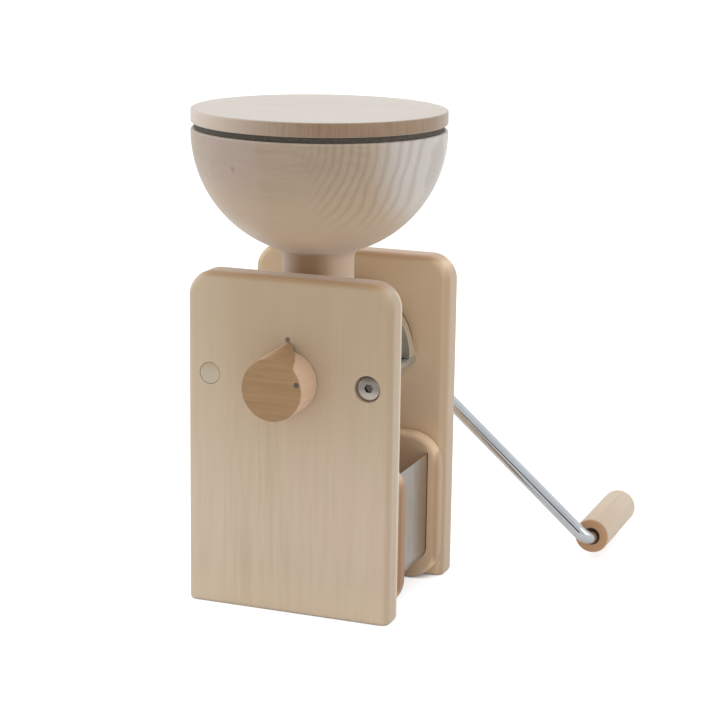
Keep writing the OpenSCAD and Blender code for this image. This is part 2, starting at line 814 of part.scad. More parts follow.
// One round rod: a stub in the collar, the arm, and the pin that carries the grip
module crank_rod() {
    stub_y = shaft_y1 + stub_room;
    arm_len = crank_r - 2 * rod_bend_r;
    color(steel) on_crank() difference() {
        union() {
            translate([0, 0, stub_y]) cylinder(d = rod_d, h = hub_end - stub_y);
            rod_bend(rod_bend_r, hub_end, 90);
            translate([rod_bend_r, 0, arm_y]) rotate([0, 90, 0]) cylinder(d = rod_d, h = arm_len);
            rod_bend(crank_r - rod_bend_r, arm_y + rod_bend_r, 270);
            translate([crank_r, 0, arm_y + rod_bend_r])
                cylinder(d = rod_d, h = pin_end - arm_y - rod_bend_r);
        }
        translate([crank_r, 0, pin_end - grip_screw_len])
            cylinder(d = grip_screw_d + 2 * fit, h = grip_screw_len + cut);
    }
}

// Turned wooden grip that spins on the crank's pin
module crank_grip() {
    near_round = 2;
    far_round = 5;
    profile = concat(
        [[0, 0]],
        arc([grip_d / 2 - near_round, near_round], near_round, -90, 0, 4),
        arc([grip_d / 2 - far_round, grip_len - far_round], far_round, 0, 90, 6),
        [[0, grip_len]]
    );
    mouth_r = rod_d / 2 + fit + grip_mouth;
    color(wood) on_grip(grip_y0) difference() {
        rotate_extrude() polygon(profile);
        translate([0, 0, -cut]) cylinder(d = rod_d + 2 * fit, h = grip_len + 2 * cut);
        translate([0, 0, grip_len - grip_recess]) cylinder(d = grip_recess_d, h = grip_recess + cut);
        cylinder(r1 = mouth_r, r2 = rod_d / 2, h = grip_mouth);
    }
}

module grip_washer() {
    color(steel) on_grip(pin_end) difference() {
        cylinder(d = washer_d, h = washer_t);
        translate([0, 0, -cut]) cylinder(d = grip_screw_d + 2 * fit, h = washer_t + 2 * cut);
    }
}

module grip_screw() {
    color(dark_steel) on_grip(pin_end + washer_t) difference() {
        union() {
            cylinder(d = grip_screw_head, h = grip_screw_head_t);
            translate([0, 0, -grip_screw_len]) cylinder(d = grip_screw_d, h = grip_screw_len);
        }
        translate([0, 0, grip_screw_head_t - 2.5]) cylinder(d = 4 / cos(30), h = 2.5 + cut, $fn = 6);
    }
}

// Section of the trough's outside, grown by a distance, from its floor up to a height
module trough_section(grow, top) {
    r = sheet_bend_r + grow;
    inner = sheet_half - sheet_bend_r;
    bend_z = sheet_lift + sheet_bend_r;
    translate([-sheet_half - grow, bend_z]) square([2 * (sheet_half + grow), top - bend_z]);
    translate([-inner, sheet_lift - grow]) square([2 * inner, r]);
    for (side = [-1, 1]) translate([side * inner, bend_z]) circle(r = r);
}

// U-shaped sheet, drawn along Y between two places
module trough_sheet(y0, y1, slack) {
    translate([0, y1, 0]) rotate([90, 0, 0]) linear_extrude(height = y1 - y0) difference() {
        trough_section(slack, sheet_top + slack);
        trough_section(-sheet_t - slack, sheet_top + slack + cut);
    }
}

module drawer_trough() {
    reach = end_y + groove_depth - groove_fit;
    color(steel) trough_sheet(-reach, reach, 0);
}

// Wooden end with rounded corners and a groove for the sheet; side is -1 in front, 1 behind
module drawer_end(side) {
    mid = side * (end_y + end_t / 2);
    half = board_w / 2 - end_corner_r;
    groove_y = [end_y - cut, end_y + groove_depth];
    color(wood) difference() {
        translate([0, mid, 0]) hull() {
            for (x = [-half, half], z = [drawer_lift + end_corner_r, end_h - end_corner_r])
                translate([x, 0, z]) edge_disc(end_corner_r, end_t, end_edge_r);
        }
        if (side < 0) trough_sheet(-groove_y[1], -groove_y[0], groove_fit);
        else trough_sheet(groove_y[0], groove_y[1], groove_fit);
    }
}

module drawer_front_end() {
    drawer_end(-1);
}

module drawer_rear_end() {
    drawer_end(1);
}

front_board();
back_board();
tie_rods();
front_bolts();
rear_cap_nuts();
inlet_body();
inlet_screws();
front_bush();
feed_screw();
stone_housing();
housing_screws();
still_stone();
turning_stone();
stone_carrier();
spring_discs();
rear_bush();
flour_chute();
main_shaft();
adjuster_bush();
thrust_cup();
thrust_ball();
adjusting_spindle();
adjusting_knob();
knob_pin();
reference_pin();
hopper();
lid();
lid_ring();
crank_hub();
hub_screws();
crank_rod();
crank_grip();
grip_washer();
grip_screw();
drawer_trough();
drawer_front_end();
drawer_rear_end();
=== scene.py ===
# %% [markdown]
# This lesson dresses a hand grain mill. The solids come in as a fixed frame, and each visible
# piece is then drawn again as a smooth surface with its own finish. All lengths are metres.

import json
import math

import bmesh
import bpy
import numpy as np
from mathutils import Matrix, Vector


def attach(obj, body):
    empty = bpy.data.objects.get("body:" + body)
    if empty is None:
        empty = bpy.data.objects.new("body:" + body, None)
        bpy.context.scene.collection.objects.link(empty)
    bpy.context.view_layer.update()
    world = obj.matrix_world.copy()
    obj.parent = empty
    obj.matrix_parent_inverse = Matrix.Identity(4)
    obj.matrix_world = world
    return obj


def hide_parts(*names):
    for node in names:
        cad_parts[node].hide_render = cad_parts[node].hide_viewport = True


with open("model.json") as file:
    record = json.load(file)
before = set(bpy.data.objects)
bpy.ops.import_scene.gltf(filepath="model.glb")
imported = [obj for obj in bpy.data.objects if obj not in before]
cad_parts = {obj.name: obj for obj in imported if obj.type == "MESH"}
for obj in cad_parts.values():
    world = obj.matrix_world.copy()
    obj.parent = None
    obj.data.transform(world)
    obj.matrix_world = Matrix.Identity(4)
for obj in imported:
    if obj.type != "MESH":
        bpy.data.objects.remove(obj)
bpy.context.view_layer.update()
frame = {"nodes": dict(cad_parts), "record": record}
nodes = frame["nodes"]
scene = bpy.context.scene
scene.view_settings.view_transform = "Standard"

# %% [markdown]
# The camera stands where the photographer stood: a little to the right of the front board, a
# little above the mill, and turned by less than a degree. A long lens keeps the boards' edges
# almost parallel. The angles were worked out from those edges and from the lid's ellipse.

# %% The camera
AZIMUTH = math.radians(20.833)
ELEVATION = math.radians(13.186)
ROLL = math.radians(0.827)
DISTANCE = 1.603064
TARGET = Vector((0.028118, 0.0, 0.18165))
SENSOR_MM = 36.0
FOCAL_IN_WIDTHS = 2110.449 / 720.0

backward = Vector((
    math.sin(AZIMUTH) * math.cos(ELEVATION),
    -math.cos(AZIMUTH) * math.cos(ELEVATION),
    math.sin(ELEVATION),
))
level_right = (-backward).cross(Vector((0.0, 0.0, 1.0))).normalized()
level_up = level_right.cross(-backward)
right = level_right * math.cos(ROLL) + level_up * math.sin(ROLL)
up = level_up * math.cos(ROLL) - level_right * math.sin(ROLL)
lens = bpy.data.cameras.new("camera")
lens.sensor_fit = "HORIZONTAL"
lens.sensor_width = SENSOR_MM
lens.lens = SENSOR_MM * FOCAL_IN_WIDTHS
lens.clip_end = 50.0
camera = bpy.data.objects.new("camera", lens)
scene.collection.objects.link(camera)
turn = Matrix((right, up, backward)).transposed().to_4x4()
camera.matrix_world = Matrix.Translation(TARGET + backward * DISTANCE) @ turn
scene.camera = camera
print("camera at", [round(v, 3) for v in camera.matrix_world.translation])

# %% [markdown]
# The studio is a tent of white cloth with an opening towards the camera. Light comes from the
# whole tent, so shadows are soft, and surfaces that face the opening get a little less of it.
# Bright metal mirrors the opening as a dark streak. To the camera itself the tent and the floor
# are plain white, but the floor keeps a share of diffuse white, so that the mill's shadow shows,
# and its glow fades close to what stands on it.


# %% Small makers for shader nodes
def srgb(red, green, blue):
    """Linear colour of a screen colour from 0 to 255: each channel goes through the sRGB curve."""
    c = np.array([red, green, blue]) / 255.0
    low = c / 12.92
    high = ((c + 0.055) / 1.055) ** 2.4
    return tuple(np.where(c <= 0.04045, low, high).tolist()) + (1.0,)


class Shader:
    """A material under construction: add() makes a node, sets its plain values and links the rest."""

    def __init__(self, tree):
        self.tree = tree
        self.tree.nodes.clear()

    def add(self, kind, settings=None, **inputs):
        node = self.tree.nodes.new("ShaderNode" + kind)
        for key, value in (settings or {}).items():
            setattr(node, key, value)
        for key, value in inputs.items():
            self.feed(node, key, value)
        return node

    def feed(self, node, key, value):
        """Input names use _ for a blank; a plain number after i picks an input by its place."""
        place = int(key[1:]) if key[0] == "i" and key[1:].isdigit() else key.replace("_", " ")
        socket = node.inputs[place]
        if isinstance(value, bpy.types.NodeSocket):
            self.tree.links.new(value, socket)
        else:
            socket.default_value = value

    def math(self, operation, a, b=0.0, c=0.0, clamp=False):
        node = self.add("Math", {"operation": operation, "use_clamp": clamp}, i0=a, i1=b, i2=c)
        return node.outputs[0]

    def mix(self, factor, a, b):
        node = self.add("Mix", {"data_type": "RGBA"}, i0=factor, i6=a, i7=b)
        return node.outputs[2]

    def ramp(self, value, low, high):
        """0 below low, 1 above high, smooth between."""
        settings = {"interpolation_type": "SMOOTHSTEP"}
        node = self.add("MapRange", settings, i0=value, i1=low, i2=high, i3=0.0, i4=1.0)
        return node.outputs[0]

    def patch(self, *ramps):
        """Share of a patch: the product of ramps, each given as (value, low, high)."""
        share = 1.0
        for value, low, high in ramps:
            share = self.math("MULTIPLY", share, self.ramp(value, low, high))
        return share

    def place(self):
        """The Object coordinates that patterns read."""
        return self.add("TexCoord").outputs["Object"]

    def axes(self, coords):
        """The three coordinates x, y and z of a place."""
        return self.add("SeparateXYZ", Vector=coords).outputs[:]

    def reach(self, u, v, middle=(0.0, 0.0)):
        """Distance from an axis through a middle: the root of the sum of two squared offsets."""
        du = self.math("SUBTRACT", u, middle[0])
        dv = self.math("SUBTRACT", v, middle[1])
        square = self.math("ADD", self.math("MULTIPLY", du, du), self.math("MULTIPLY", dv, dv))
        return self.math("SQRT", square)

    def toned(self, color, *tones):
        """The colour, mixed in turn towards each tone: (share from 0 to 1, other colour, strength)."""
        for share, other, strength in tones:
            color = self.mix(self.math("MULTIPLY", share, strength), color, other)
        return color

    def surface(self, **inputs):
        """The finished surface: a Principled shader with these inputs, linked to the output."""
        base = self.add("BsdfPrincipled", **inputs)
        self.add("OutputMaterial", Surface=base.outputs[0])


def new_finish(name):
    """An empty material and its shader under construction."""
    finish = bpy.data.materials.new(name)
    finish.use_nodes = True
    return finish, Shader(finish.node_tree)


def seen_by_lens(shader):
    """1 for rays that the camera sends, straight or through glass, and 0 for light and mirrored rays."""
    path = shader.add("LightPath")
    return shader.math("MAXIMUM", path.outputs["Is Camera Ray"], path.outputs["Is Transmission Ray"])


print("middle grey of the screen, in linear light:", round(srgb(128, 128, 128)[0], 3))


# %% The studio
TENT_LIGHT = 1.0
FRONT_LIGHT = 0.79
OPENING_LIGHT = 0.06
OPENING_WAY = (0.303, -0.939, 0.162)
OPENING_HALF = (12.0, 9.0)
FRONT_FADE = (-0.3, 0.85)
FLOOR_GLOW = 0.72
FLOOR_SHADOW = 0.50
FLOOR_WHITE = 0.85
CONTACT_REACH = 0.016

world = bpy.data.worlds.new("studio")
scene.world = world
world.use_nodes = True
sky = Shader(world.node_tree)
way = sky.add("TexCoord").outputs["Generated"]
facing = sky.add("VectorMath", {"operation": "DOT_PRODUCT"}, i0=way, i1=OPENING_WAY).outputs["Value"]
front = sky.ramp(facing, *FRONT_FADE)
opening = sky.ramp(facing, *np.cos(np.radians(OPENING_HALF)).tolist())
cloth = sky.add("MapRange", i0=front, i1=0.0, i2=1.0, i3=TENT_LIGHT, i4=FRONT_LIGHT).outputs[0]
tent = sky.add("MapRange", i0=opening, i1=0.0, i2=1.0, i3=cloth, i4=OPENING_LIGHT).outputs[0]
camera_ray = sky.add("LightPath").outputs["Is Camera Ray"]
strength = sky.add("MapRange", i0=camera_ray, i1=0.0, i2=1.0, i3=tent, i4=1.0)
background = sky.add("Background", Color=(1.0, 1.0, 1.0, 1.0), Strength=strength.outputs[0])
sky.add("OutputWorld", Surface=background.outputs[0])

floor_finish, ground = new_finish("studio_floor")
contact = ground.add("AmbientOcclusion", {"samples": 8}, Distance=CONTACT_REACH).outputs["AO"]
lit = ground.math("MULTIPLY", ground.ramp(contact, 0.0, 0.5), FLOOR_GLOW)
glow = ground.add("Emission", Color=(1.0, 1.0, 1.0, 1.0), Strength=lit)
shade = ground.add("BsdfDiffuse", Color=(FLOOR_SHADOW, FLOOR_SHADOW, FLOOR_SHADOW, 1.0))
seen = ground.add("AddShader", i0=glow.outputs[0], i1=shade.outputs[0])
plain = ground.add("BsdfDiffuse", Color=(FLOOR_WHITE, FLOOR_WHITE, FLOOR_WHITE, 1.0))
floor_mix = ground.add("MixShader", i0=seen_by_lens(ground), i1=plain.outputs[0], i2=seen.outputs[0])
ground.add("OutputMaterial", Surface=floor_mix.outputs[0])

FLOOR_HALF = 6.0
floor_mesh = bpy.data.meshes.new("floor")
floor_corners = FLOOR_HALF * np.array([[-1, -1, 0], [1, -1, 0], [1, 1, 0], [-1, 1, 0]])
floor_mesh.from_pydata(floor_corners.tolist(), [], [(0, 1, 2, 3)])
floor_mesh.materials.append(floor_finish)
floor = bpy.data.objects.new("floor", floor_mesh)
scene.collection.objects.link(floor)


def softbox(name, place, aim, size, watts):
    """A square lamp at a place, turned so that its face looks at the aim point."""
    lamp = bpy.data.lights.new(name, "AREA")
    lamp.shape = "SQUARE"
    lamp.size = size
    lamp.energy = watts
    box = bpy.data.objects.new(name, lamp)
    scene.collection.objects.link(box)
    look = (Vector(aim) - Vector(place)).to_track_quat("-Z", "Y")
    box.matrix_world = Matrix.Translation(place) @ look.to_matrix().to_4x4()


MIDDLE = (0.0, 0.0, 0.2)
softbox("left_box", (-1.6, -0.1, 0.9), MIDDLE, 1.1, 5.0)
softbox("right_box", (1.6, 0.1, 0.8), MIDDLE, 1.1, 3.5)
softbox("top_box", (0.0, 0.2, 1.9), MIDDLE, 1.4, 6.0)

# %% [markdown]
# Every new piece is a grid of points worked out at once. Three kinds are enough for this mill:
# a profile turned about an axis (lathe work), a circle carried along a path (bent rod), and a
# flat plate whose edge is rounded over (boards). The helper below turns such a grid into a
# mesh, points its faces outwards and gives smooth shading with crisp corners.


# %% Grids and meshes
def grid_quads(rows, cols, close_rows=False, close_cols=False):
    """Corner numbers of a grid's cells. A closed direction joins its last line to its first."""
    r = np.arange(rows if close_rows else rows - 1)
    c = np.arange(cols if close_cols else cols - 1)
    r, c = np.meshgrid(r, c, indexing="ij")
    r_next = (r + 1) % rows
    c_next = (c + 1) % cols
    corners = [r * cols + c, r * cols + c_next, r_next * cols + c_next, r_next * cols + c]
    return np.stack(corners, axis=-1).reshape(-1, 4)


def capped_quads(rows, cols):
    """Cells of a grid that is closed round its columns, with a flat face on its first and last row."""
    faces = grid_quads(rows, cols, close_cols=True).tolist()
    return faces + [list(range(cols)), list(range(cols * (rows - 1), cols * rows))]


SHARP_DEG = 32.0


def smooth_shaded(mesh, sharp_deg=SHARP_DEG):
    """The mesh shaded smooth but for corners over an angle."""
    mesh.shade_smooth()
    mesh.set_sharp_from_angle(angle=math.radians(sharp_deg))
    return mesh


def clean_mesh(mesh, sharp_deg=SHARP_DEG):
    """Merges doubled points, turns faces outwards, and shades smooth but for sharp corners."""
    work = bmesh.new()
    work.from_mesh(mesh)
    bmesh.ops.remove_doubles(work, verts=work.verts, dist=1e-7)
    bmesh.ops.recalc_face_normals(work, faces=work.faces)
    work.to_mesh(mesh)
    work.free()
    return smooth_shaded(mesh, sharp_deg)


def new_mesh(name, points, faces):
    """A mesh of an array of points and a list of faces."""
    mesh = bpy.data.meshes.new(name)
    mesh.from_pydata(np.asarray(points).tolist(), [], [list(map(int, f)) for f in faces])
    return clean_mesh(mesh)


def join_shells(shells):
    """Several (points, faces) shells as one: each shell's face numbers move up by the points before it."""
    points, faces, before = [], [], 0
    for shell_points, shell_faces in shells:
        points.append(np.asarray(shell_points))
        faces += [[int(i) + before for i in f] for f in shell_faces]
        before += len(shell_points)
    return np.concatenate(points), faces


def add_piece(name, mesh, body, slot, finish, *stands_for):
    """Puts a mesh in the scene with its finish, rides it on its body and hides the solids it stands for."""
    piece = bpy.data.objects.new(name, mesh)
    scene.collection.objects.link(piece)
    mesh.materials.clear()
    mesh.materials.append(finish)
    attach(piece, body)
    if stands_for:
        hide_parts(*stands_for)
    print(f"{name}: {len(mesh.polygons)} faces on {body}")
    return piece


def arc(centre, radius, start_deg, end_deg, steps):
    """Points of an arc in a plane: centre plus radius times (cosine, sine) of evenly spaced angles."""
    a = np.radians(np.linspace(start_deg, end_deg, steps + 1))
    return np.asarray(centre) + radius * np.stack([np.cos(a), np.sin(a)], axis=-1)


def lathe(profile, origin, along="z", turns=144, loop=False):
    """Turned shape: a profile point (r, h) goes to origin + h * axis + r * (cos t, sin t) across that axis.
    The axis is Z or Y. A loop closes the profile."""
    profile = np.asarray(profile, dtype=float)
    t = np.linspace(0.0, 2.0 * math.pi, turns, endpoint=False)
    r = profile[:, 0, None]
    h = np.broadcast_to(profile[:, 1, None], (len(profile), turns))
    u, v = r * np.cos(t), r * np.sin(t)
    across = (u, v, h) if along == "z" else (u, h, -v)
    points = np.stack(across, axis=-1).reshape(-1, 3) + np.asarray(origin)
    return points, grid_quads(len(profile), turns, close_rows=loop, close_cols=True)


def cut_away(mesh, *cutters):
    """The mesh less each cutter shell, worked out by exact Boolean modifiers that are applied at once."""
    body = bpy.data.objects.new("cut_work", mesh)
    scene.collection.objects.link(body)
    tools = []
    for cutter in cutters:
        tool = bpy.data.objects.new("cut_tool", new_mesh("tool", *cutter))
        scene.collection.objects.link(tool)
        step = body.modifiers.new("cut", "BOOLEAN")
        step.operation = "DIFFERENCE"
        step.solver = "EXACT"
        step.object = tool
        tools.append(tool)
    bpy.context.view_layer.update()
    ready = body.evaluated_get(bpy.context.evaluated_depsgraph_get())
    result = bpy.data.meshes.new_from_object(ready)
    for spare in tools + [body]:
        spare_mesh = spare.data
        bpy.data.objects.remove(spare)
        bpy.data.meshes.remove(spare_mesh)
    return clean_mesh(result)


def joined(mesh, other):
    """Both meshes as one, shaded smooth but for sharp corners."""
    work = bmesh.new()
    work.from_mesh(mesh)
    work.from_mesh(other)
    work.to_mesh(mesh)
    work.free()
    bpy.data.meshes.remove(other)
    return smooth_shaded(mesh)


print("cells of a tube with 4 rings of 6 points:", len(grid_quads(4, 6, close_cols=True)))


# %% [markdown]
# The wood is a pale, even hardwood. A solid texture runs through each piece, as in real timber:
# fibres are noise that is stretched along the grain, broad soft bands vary the tone, and small
# flecks break it up. The same recipe serves all wooden pieces with other colours, another grain
# direction and another strength of figure.


# %% Wood finishes
SHEEN_ROUGH = 0.45


def stretched(shader, coords, scale):
    """Coordinates multiplied by a scale on each axis: a small scale draws a pattern out along that axis."""
    return shader.add("Mapping", {"vector_type": "POINT"}, Vector=coords, Scale=scale).outputs[0]


def noise(shader, coords, scale, detail=2.0, rough=0.5):
    """Soft cloud noise from 0 to 1."""
    return shader.add("TexNoise", Vector=coords, Scale=scale, Detail=detail, Roughness=rough).outputs[0]


def wood(
    name, pale, tan, warm, grain=2, fibre=0.5, bands=0.5, blush=0.5, sheen=0.1, gleam=0.35, figure=None
):
    """Wood finish. pale and tan are the light and dark tones, warm the tone of soft blushes, and grain the
    axis that the fibres follow (0, 1 or 2). sheen is the grey-white bloom at grazing angles and gleam the
    strength of reflections. figure, if given, changes the colour further."""
    finish, shader = new_finish(name)
    coords = shader.place()

    def drawn_out(draw, scale, detail, rough):
        """Noise that is stretched along the grain."""
        draws = tuple(1.0 / draw if axis == grain else 1.0 for axis in range(3))
        return noise(shader, stretched(shader, coords, draws), scale, detail, rough)

    fine = drawn_out(40.0, 1100.0, 3.0, 0.6)
    streak = drawn_out(22.0, 260.0, 3.0, 0.55)
    broad = drawn_out(7.0, 55.0, 2.0, 0.5)
    cloud = drawn_out(2.5, 15.0, 2.0, 0.5)
    fleck = drawn_out(9.0, 900.0, 2.0, 0.6)
    tone = 0.0
    for pattern, low, high, weight in (
        (fine, 0.40, 0.66, 0.30 * fibre),
        (streak, 0.38, 0.68, 0.42 * fibre),
        (broad, 0.32, 0.70, 0.45 * bands),
        (fleck, 0.64, 0.76, 0.35 * fibre),
    ):
        tone = shader.math("MULTIPLY_ADD", shader.ramp(pattern, low, high), weight, tone, clamp=True)
    color = shader.toned(shader.mix(tone, pale, tan), (shader.ramp(cloud, 0.38, 0.66), warm, blush))
    if figure:
        color = figure(shader, coords, color)

    gloss = shader.add("MapRange", i0=streak, i1=0.3, i2=0.7, i3=0.43, i4=0.57)
    bump = shader.add("Bump", Strength=0.18, Distance=0.0003, Height=shader.math("ADD", fine, streak))
    shader.surface(
        Base_Color=color,
        Roughness=gloss.outputs[0],
        Normal=bump.outputs[0],
        Specular_IOR_Level=gleam,
        Sheen_Weight=sheen,
        Sheen_Roughness=SHEEN_ROUGH,
    )
    return finish


BOARD_W = 0.162
BOARD_H = 0.256
BOARD_T = 0.025
Y_IN = 0.050
Y_OUT = Y_IN + BOARD_T
HALF_W = BOARD_W / 2.0


def board_grain_and_painted_light(shader, coords, color):
    """Painted light on a board: painted shade makes it more tan near its top, under the bowl, and painted
    light makes it paler low down and towards -X. The narrow sides get painted shade, the front board's
    rear rounding a painted highlight, and the whole back board a paler, warmer painted bounce light.
    The end grain on top is warmer."""
    x, y, z = shader.axes(coords)
    out = shader.math("ABSOLUTE", x)
    side = (out, HALF_W - 0.0055, HALF_W - 0.0005)
    inner = (y, -Y_IN - 0.010, -Y_IN - 0.004)
    rounding = shader.patch((out, HALF_W - 0.007, HALF_W - 0.003), inner, (y, 0.0, -0.02))
    # Painted light and shade, all but the last tone, which is the end grain on top.
    return shader.toned(
        color,
        (shader.ramp(z, 0.05, 0.25), srgb(180, 158, 126), 0.75),
        (shader.ramp(z, 0.04, 0.0), srgb(226, 205, 174), 0.5),
        (shader.ramp(x, -0.03, -0.075), srgb(224, 206, 182), 0.3),
        (shader.ramp(y, -0.01, 0.01), srgb(230, 202, 168), 0.75),
        (shader.patch(side), srgb(164, 140, 112), 0.55),
        (rounding, srgb(246, 230, 206), 0.6),
        (shader.patch(side, (y, 0.0, 0.02)), srgb(156, 128, 98), 0.3),
        (shader.ramp(z, BOARD_H - 0.0055, BOARD_H - 0.0015), srgb(176, 137, 98), 0.7),
    )


board_wood = wood(
    "board_wood",
    srgb(214, 196, 171),
    srgb(190, 169, 142),
    srgb(211, 187, 166),
    fibre=0.65,
    bands=0.4,
    sheen=0.4,
    figure=board_grain_and_painted_light,
)


def drawer_end_grain_and_painted_shade(shader, coords, color):
    """The narrow sides of the drawer's ends are end grain and a deeper tan, made darker still by painted
    shade, most on the front end. The rear end's face is paler.
    """
    x, y, _ = shader.axes(coords)
    out = shader.math("ABSOLUTE", x)
    rear = (y, -0.01, 0.01)
    rear_side = shader.patch(rear, (out, HALF_W - 0.0042, HALF_W - 0.0018))
    front_side = shader.patch((y, 0.01, -0.01), (out, HALF_W - 0.0037, HALF_W - 0.0007))
    # Painted shade darkens the narrow sides beyond their end grain tone, most on the front end.
    return shader.toned(
        color,
        (shader.patch(rear), srgb(240, 210, 178), 0.5),
        (rear_side, srgb(150, 120, 92), 0.62),
        (front_side, srgb(146, 106, 76), 0.8),
    )


drawer_wood = wood(
    "drawer_wood",
    srgb(214, 184, 150),
    srgb(184, 150, 116),
    srgb(208, 172, 138),
    grain=0,
    fibre=0.6,
    bands=0.35,
    figure=drawer_end_grain_and_painted_shade,
)


# %% [markdown]
# The bowl is turned from a block whose heart lies above and behind it, so the growth rings meet
# the round face as curved bands. The figure below darkens a soft wave of the distance from that
# heart line, and lets it fade towards the left, where the wood has only a faint blush.


# %% The bowl's figured wood
RIM_Z = 0.3585
RING_PITCH = 0.0050
RING_WANDER = 0.010
HEART = (-0.006, 0.356)
KNOT = (-0.0304, -0.1043, 0.3370)
KNOT_R = 0.0030


def bowl_rings_and_painted_light(shader, coords, color):
    """Bands: a wave of the distance to a heart line along Y, bent by soft noise and strongest at +X. The
    wood is pinker at -X, and the bowl is more yellow low down. Painted light: a grey painted sheen at +X
    and at the lower left, painted shade that turns the neck brown, paler painted light on both sides of
    the neck and a painted highlight on the rim. A small knot darkens the points near one place."""
    x, _, z = shader.axes(coords)
    pink = shader.patch((x, -0.006, -0.014), (x, -0.075, -0.055))
    low_left = shader.patch((x, -0.010, -0.034), (z, 0.302, 0.284))
    edge = shader.patch((x, 0.060, 0.088), (z, 0.274, 0.312))
    foot = shader.patch((z, 0.288, 0.262), (x, 0.020, 0.006), (x, -0.048, -0.026))
    neck_right = shader.patch((z, 0.274, 0.264), (x, 0.014, 0.022))
    neck_left = shader.patch((z, 0.274, 0.266), (x, 0.000, -0.018))

    wander = noise(shader, coords, 20.0, 2.0, 0.5)
    bend = shader.math("MULTIPLY", wander, RING_WANDER)
    distance = shader.math("ADD", shader.reach(x, z, HEART), bend)
    wave = shader.math("SINE", shader.math("MULTIPLY", distance, 2.0 * math.pi / RING_PITCH))
    rings = shader.patch((wave, -0.3, 1.0), (x, 0.016, 0.050), (z, 0.280, 0.318))
    near = shader.add("VectorMath", {"operation": "DISTANCE"}, i0=coords, i1=KNOT).outputs["Value"]
    # low_left, edge, the rim tone and the neck's sides are painted light, foot is painted shade; pink, the
    # yellow low tones, the rings and the knot are the wood's own.
    return shader.toned(
        color,
        (pink, srgb(178, 158, 150), 0.55),
        (shader.ramp(z, 0.345, 0.300), srgb(192, 168, 138), 0.6),
        (shader.ramp(z, 0.300, 0.278), srgb(196, 168, 138), 0.6),
        (low_left, srgb(208, 195, 180), 0.55),
        (edge, srgb(206, 202, 199), 0.75),
        (shader.ramp(z, RIM_Z - 0.0016, RIM_Z - 0.0006), srgb(202, 190, 176), 0.4),
        (foot, srgb(156, 120, 86), 0.7),
        (neck_right, srgb(214, 193, 172), 0.6),
        (neck_left, srgb(208, 190, 172), 0.6),
        (rings, srgb(132, 108, 88), 0.24),
        (shader.ramp(near, KNOT_R, 0.0), srgb(122, 98, 88), 0.5),
    )


bowl_wood = wood(
    "bowl_wood",
    srgb(176, 158, 137),
    srgb(154, 134, 112),
    srgb(172, 151, 133),
    grain=0,
    fibre=0.6,
    bands=0.3,
    sheen=0.4,
    gleam=0.15,
    figure=bowl_rings_and_painted_light,
)
print("wood finishes:", [m.name for m in bpy.data.materials if "wood" in m.name])


# %% [markdown]
# Metal is bright where it is polished and satin where it is sheet. A stretched noise gives the
# sheet its brushing, and a fainter one keeps polished pieces from looking like glass.


# %% Metal, stone and rubber finishes
AXIS_Z = 0.179
RIM_R = 0.056
RIM_Y = (0.0335, 0.045)


def metal(name, color, rough, spread=0.04, brush=None, strength=0.05, figure=None):
    """Metal finish: roughness wanders by the spread, brush draws the noise out along chosen axes, and
    figure, if given, changes the colour further."""
    finish, shader = new_finish(name)
    coords = shader.place()
    scratch = noise(shader, stretched(shader, coords, brush or (1.0, 1.0, 1.0)), 700.0, 3.0, 0.6)
    smear = noise(shader, coords, 40.0, 2.0, 0.5)
    blend = shader.math("MULTIPLY_ADD", smear, 0.6, shader.math("MULTIPLY", scratch, 0.4))
    smooth = max(rough - spread, 0.02)
    gloss = shader.add("MapRange", i0=blend, i1=0.3, i2=0.7, i3=smooth, i4=rough + spread)
    dull = tuple(0.86 * c for c in color[:3]) + (1.0,)
    tint = shader.mix(shader.ramp(blend, 0.35, 0.7), color, dull)
    if figure:
        tint = figure(shader, coords, tint)
    bump = shader.add("Bump", Strength=strength, Distance=0.0002, Height=scratch)
    shader.surface(Base_Color=tint, Metallic=1.0, Roughness=gloss.outputs[0], Normal=bump.outputs[0])
    return finish


def matt(name, color, dark, scale, rough, strength):
    """Matt finish: two tones mixed by noise, with the same noise as bump."""
    finish, shader = new_finish(name)
    coords = shader.place()
    grainy = noise(shader, coords, scale, 4.0, 0.65)
    tint = shader.mix(shader.ramp(grainy, 0.35, 0.68), color, dark)
    gloss = shader.add("MapRange", i0=grainy, i1=0.3, i2=0.7, i3=rough - 0.06, i4=rough + 0.06)
    bump = shader.add("Bump", Strength=strength, Distance=0.0004, Height=grainy)
    shader.surface(Base_Color=tint, Roughness=gloss.outputs[0], Normal=bump.outputs[0])
    return finish


polished_steel = metal("polished_steel", srgb(202, 206, 211), 0.09, 0.03)


def sheet_painted_light(shader, coords, tint):
    """Painted light on the sheet: a cool grey painted reflection in its front half, a paler, warmer painted
    reflection towards the rear, and a painted shadow at its rear edge, by the groove.
    """
    _, y, _ = shader.axes(coords)
    # All three tones are painted: two reflections and a shadow.
    return shader.toned(
        tint,
        (shader.ramp(y, 0.0065, 0.0035), srgb(172, 168, 164), 0.8),
        (shader.ramp(y, 0.0160, 0.0300), srgb(196, 182, 166), 0.5),
        (shader.ramp(y, 0.0335, 0.0350), srgb(60, 50, 40), 0.85),
    )


sheet_steel = metal(
    "sheet_steel", srgb(170, 160, 148), 0.34, 0.06, (1.0, 1.0, 0.03), 0.08, sheet_painted_light
)


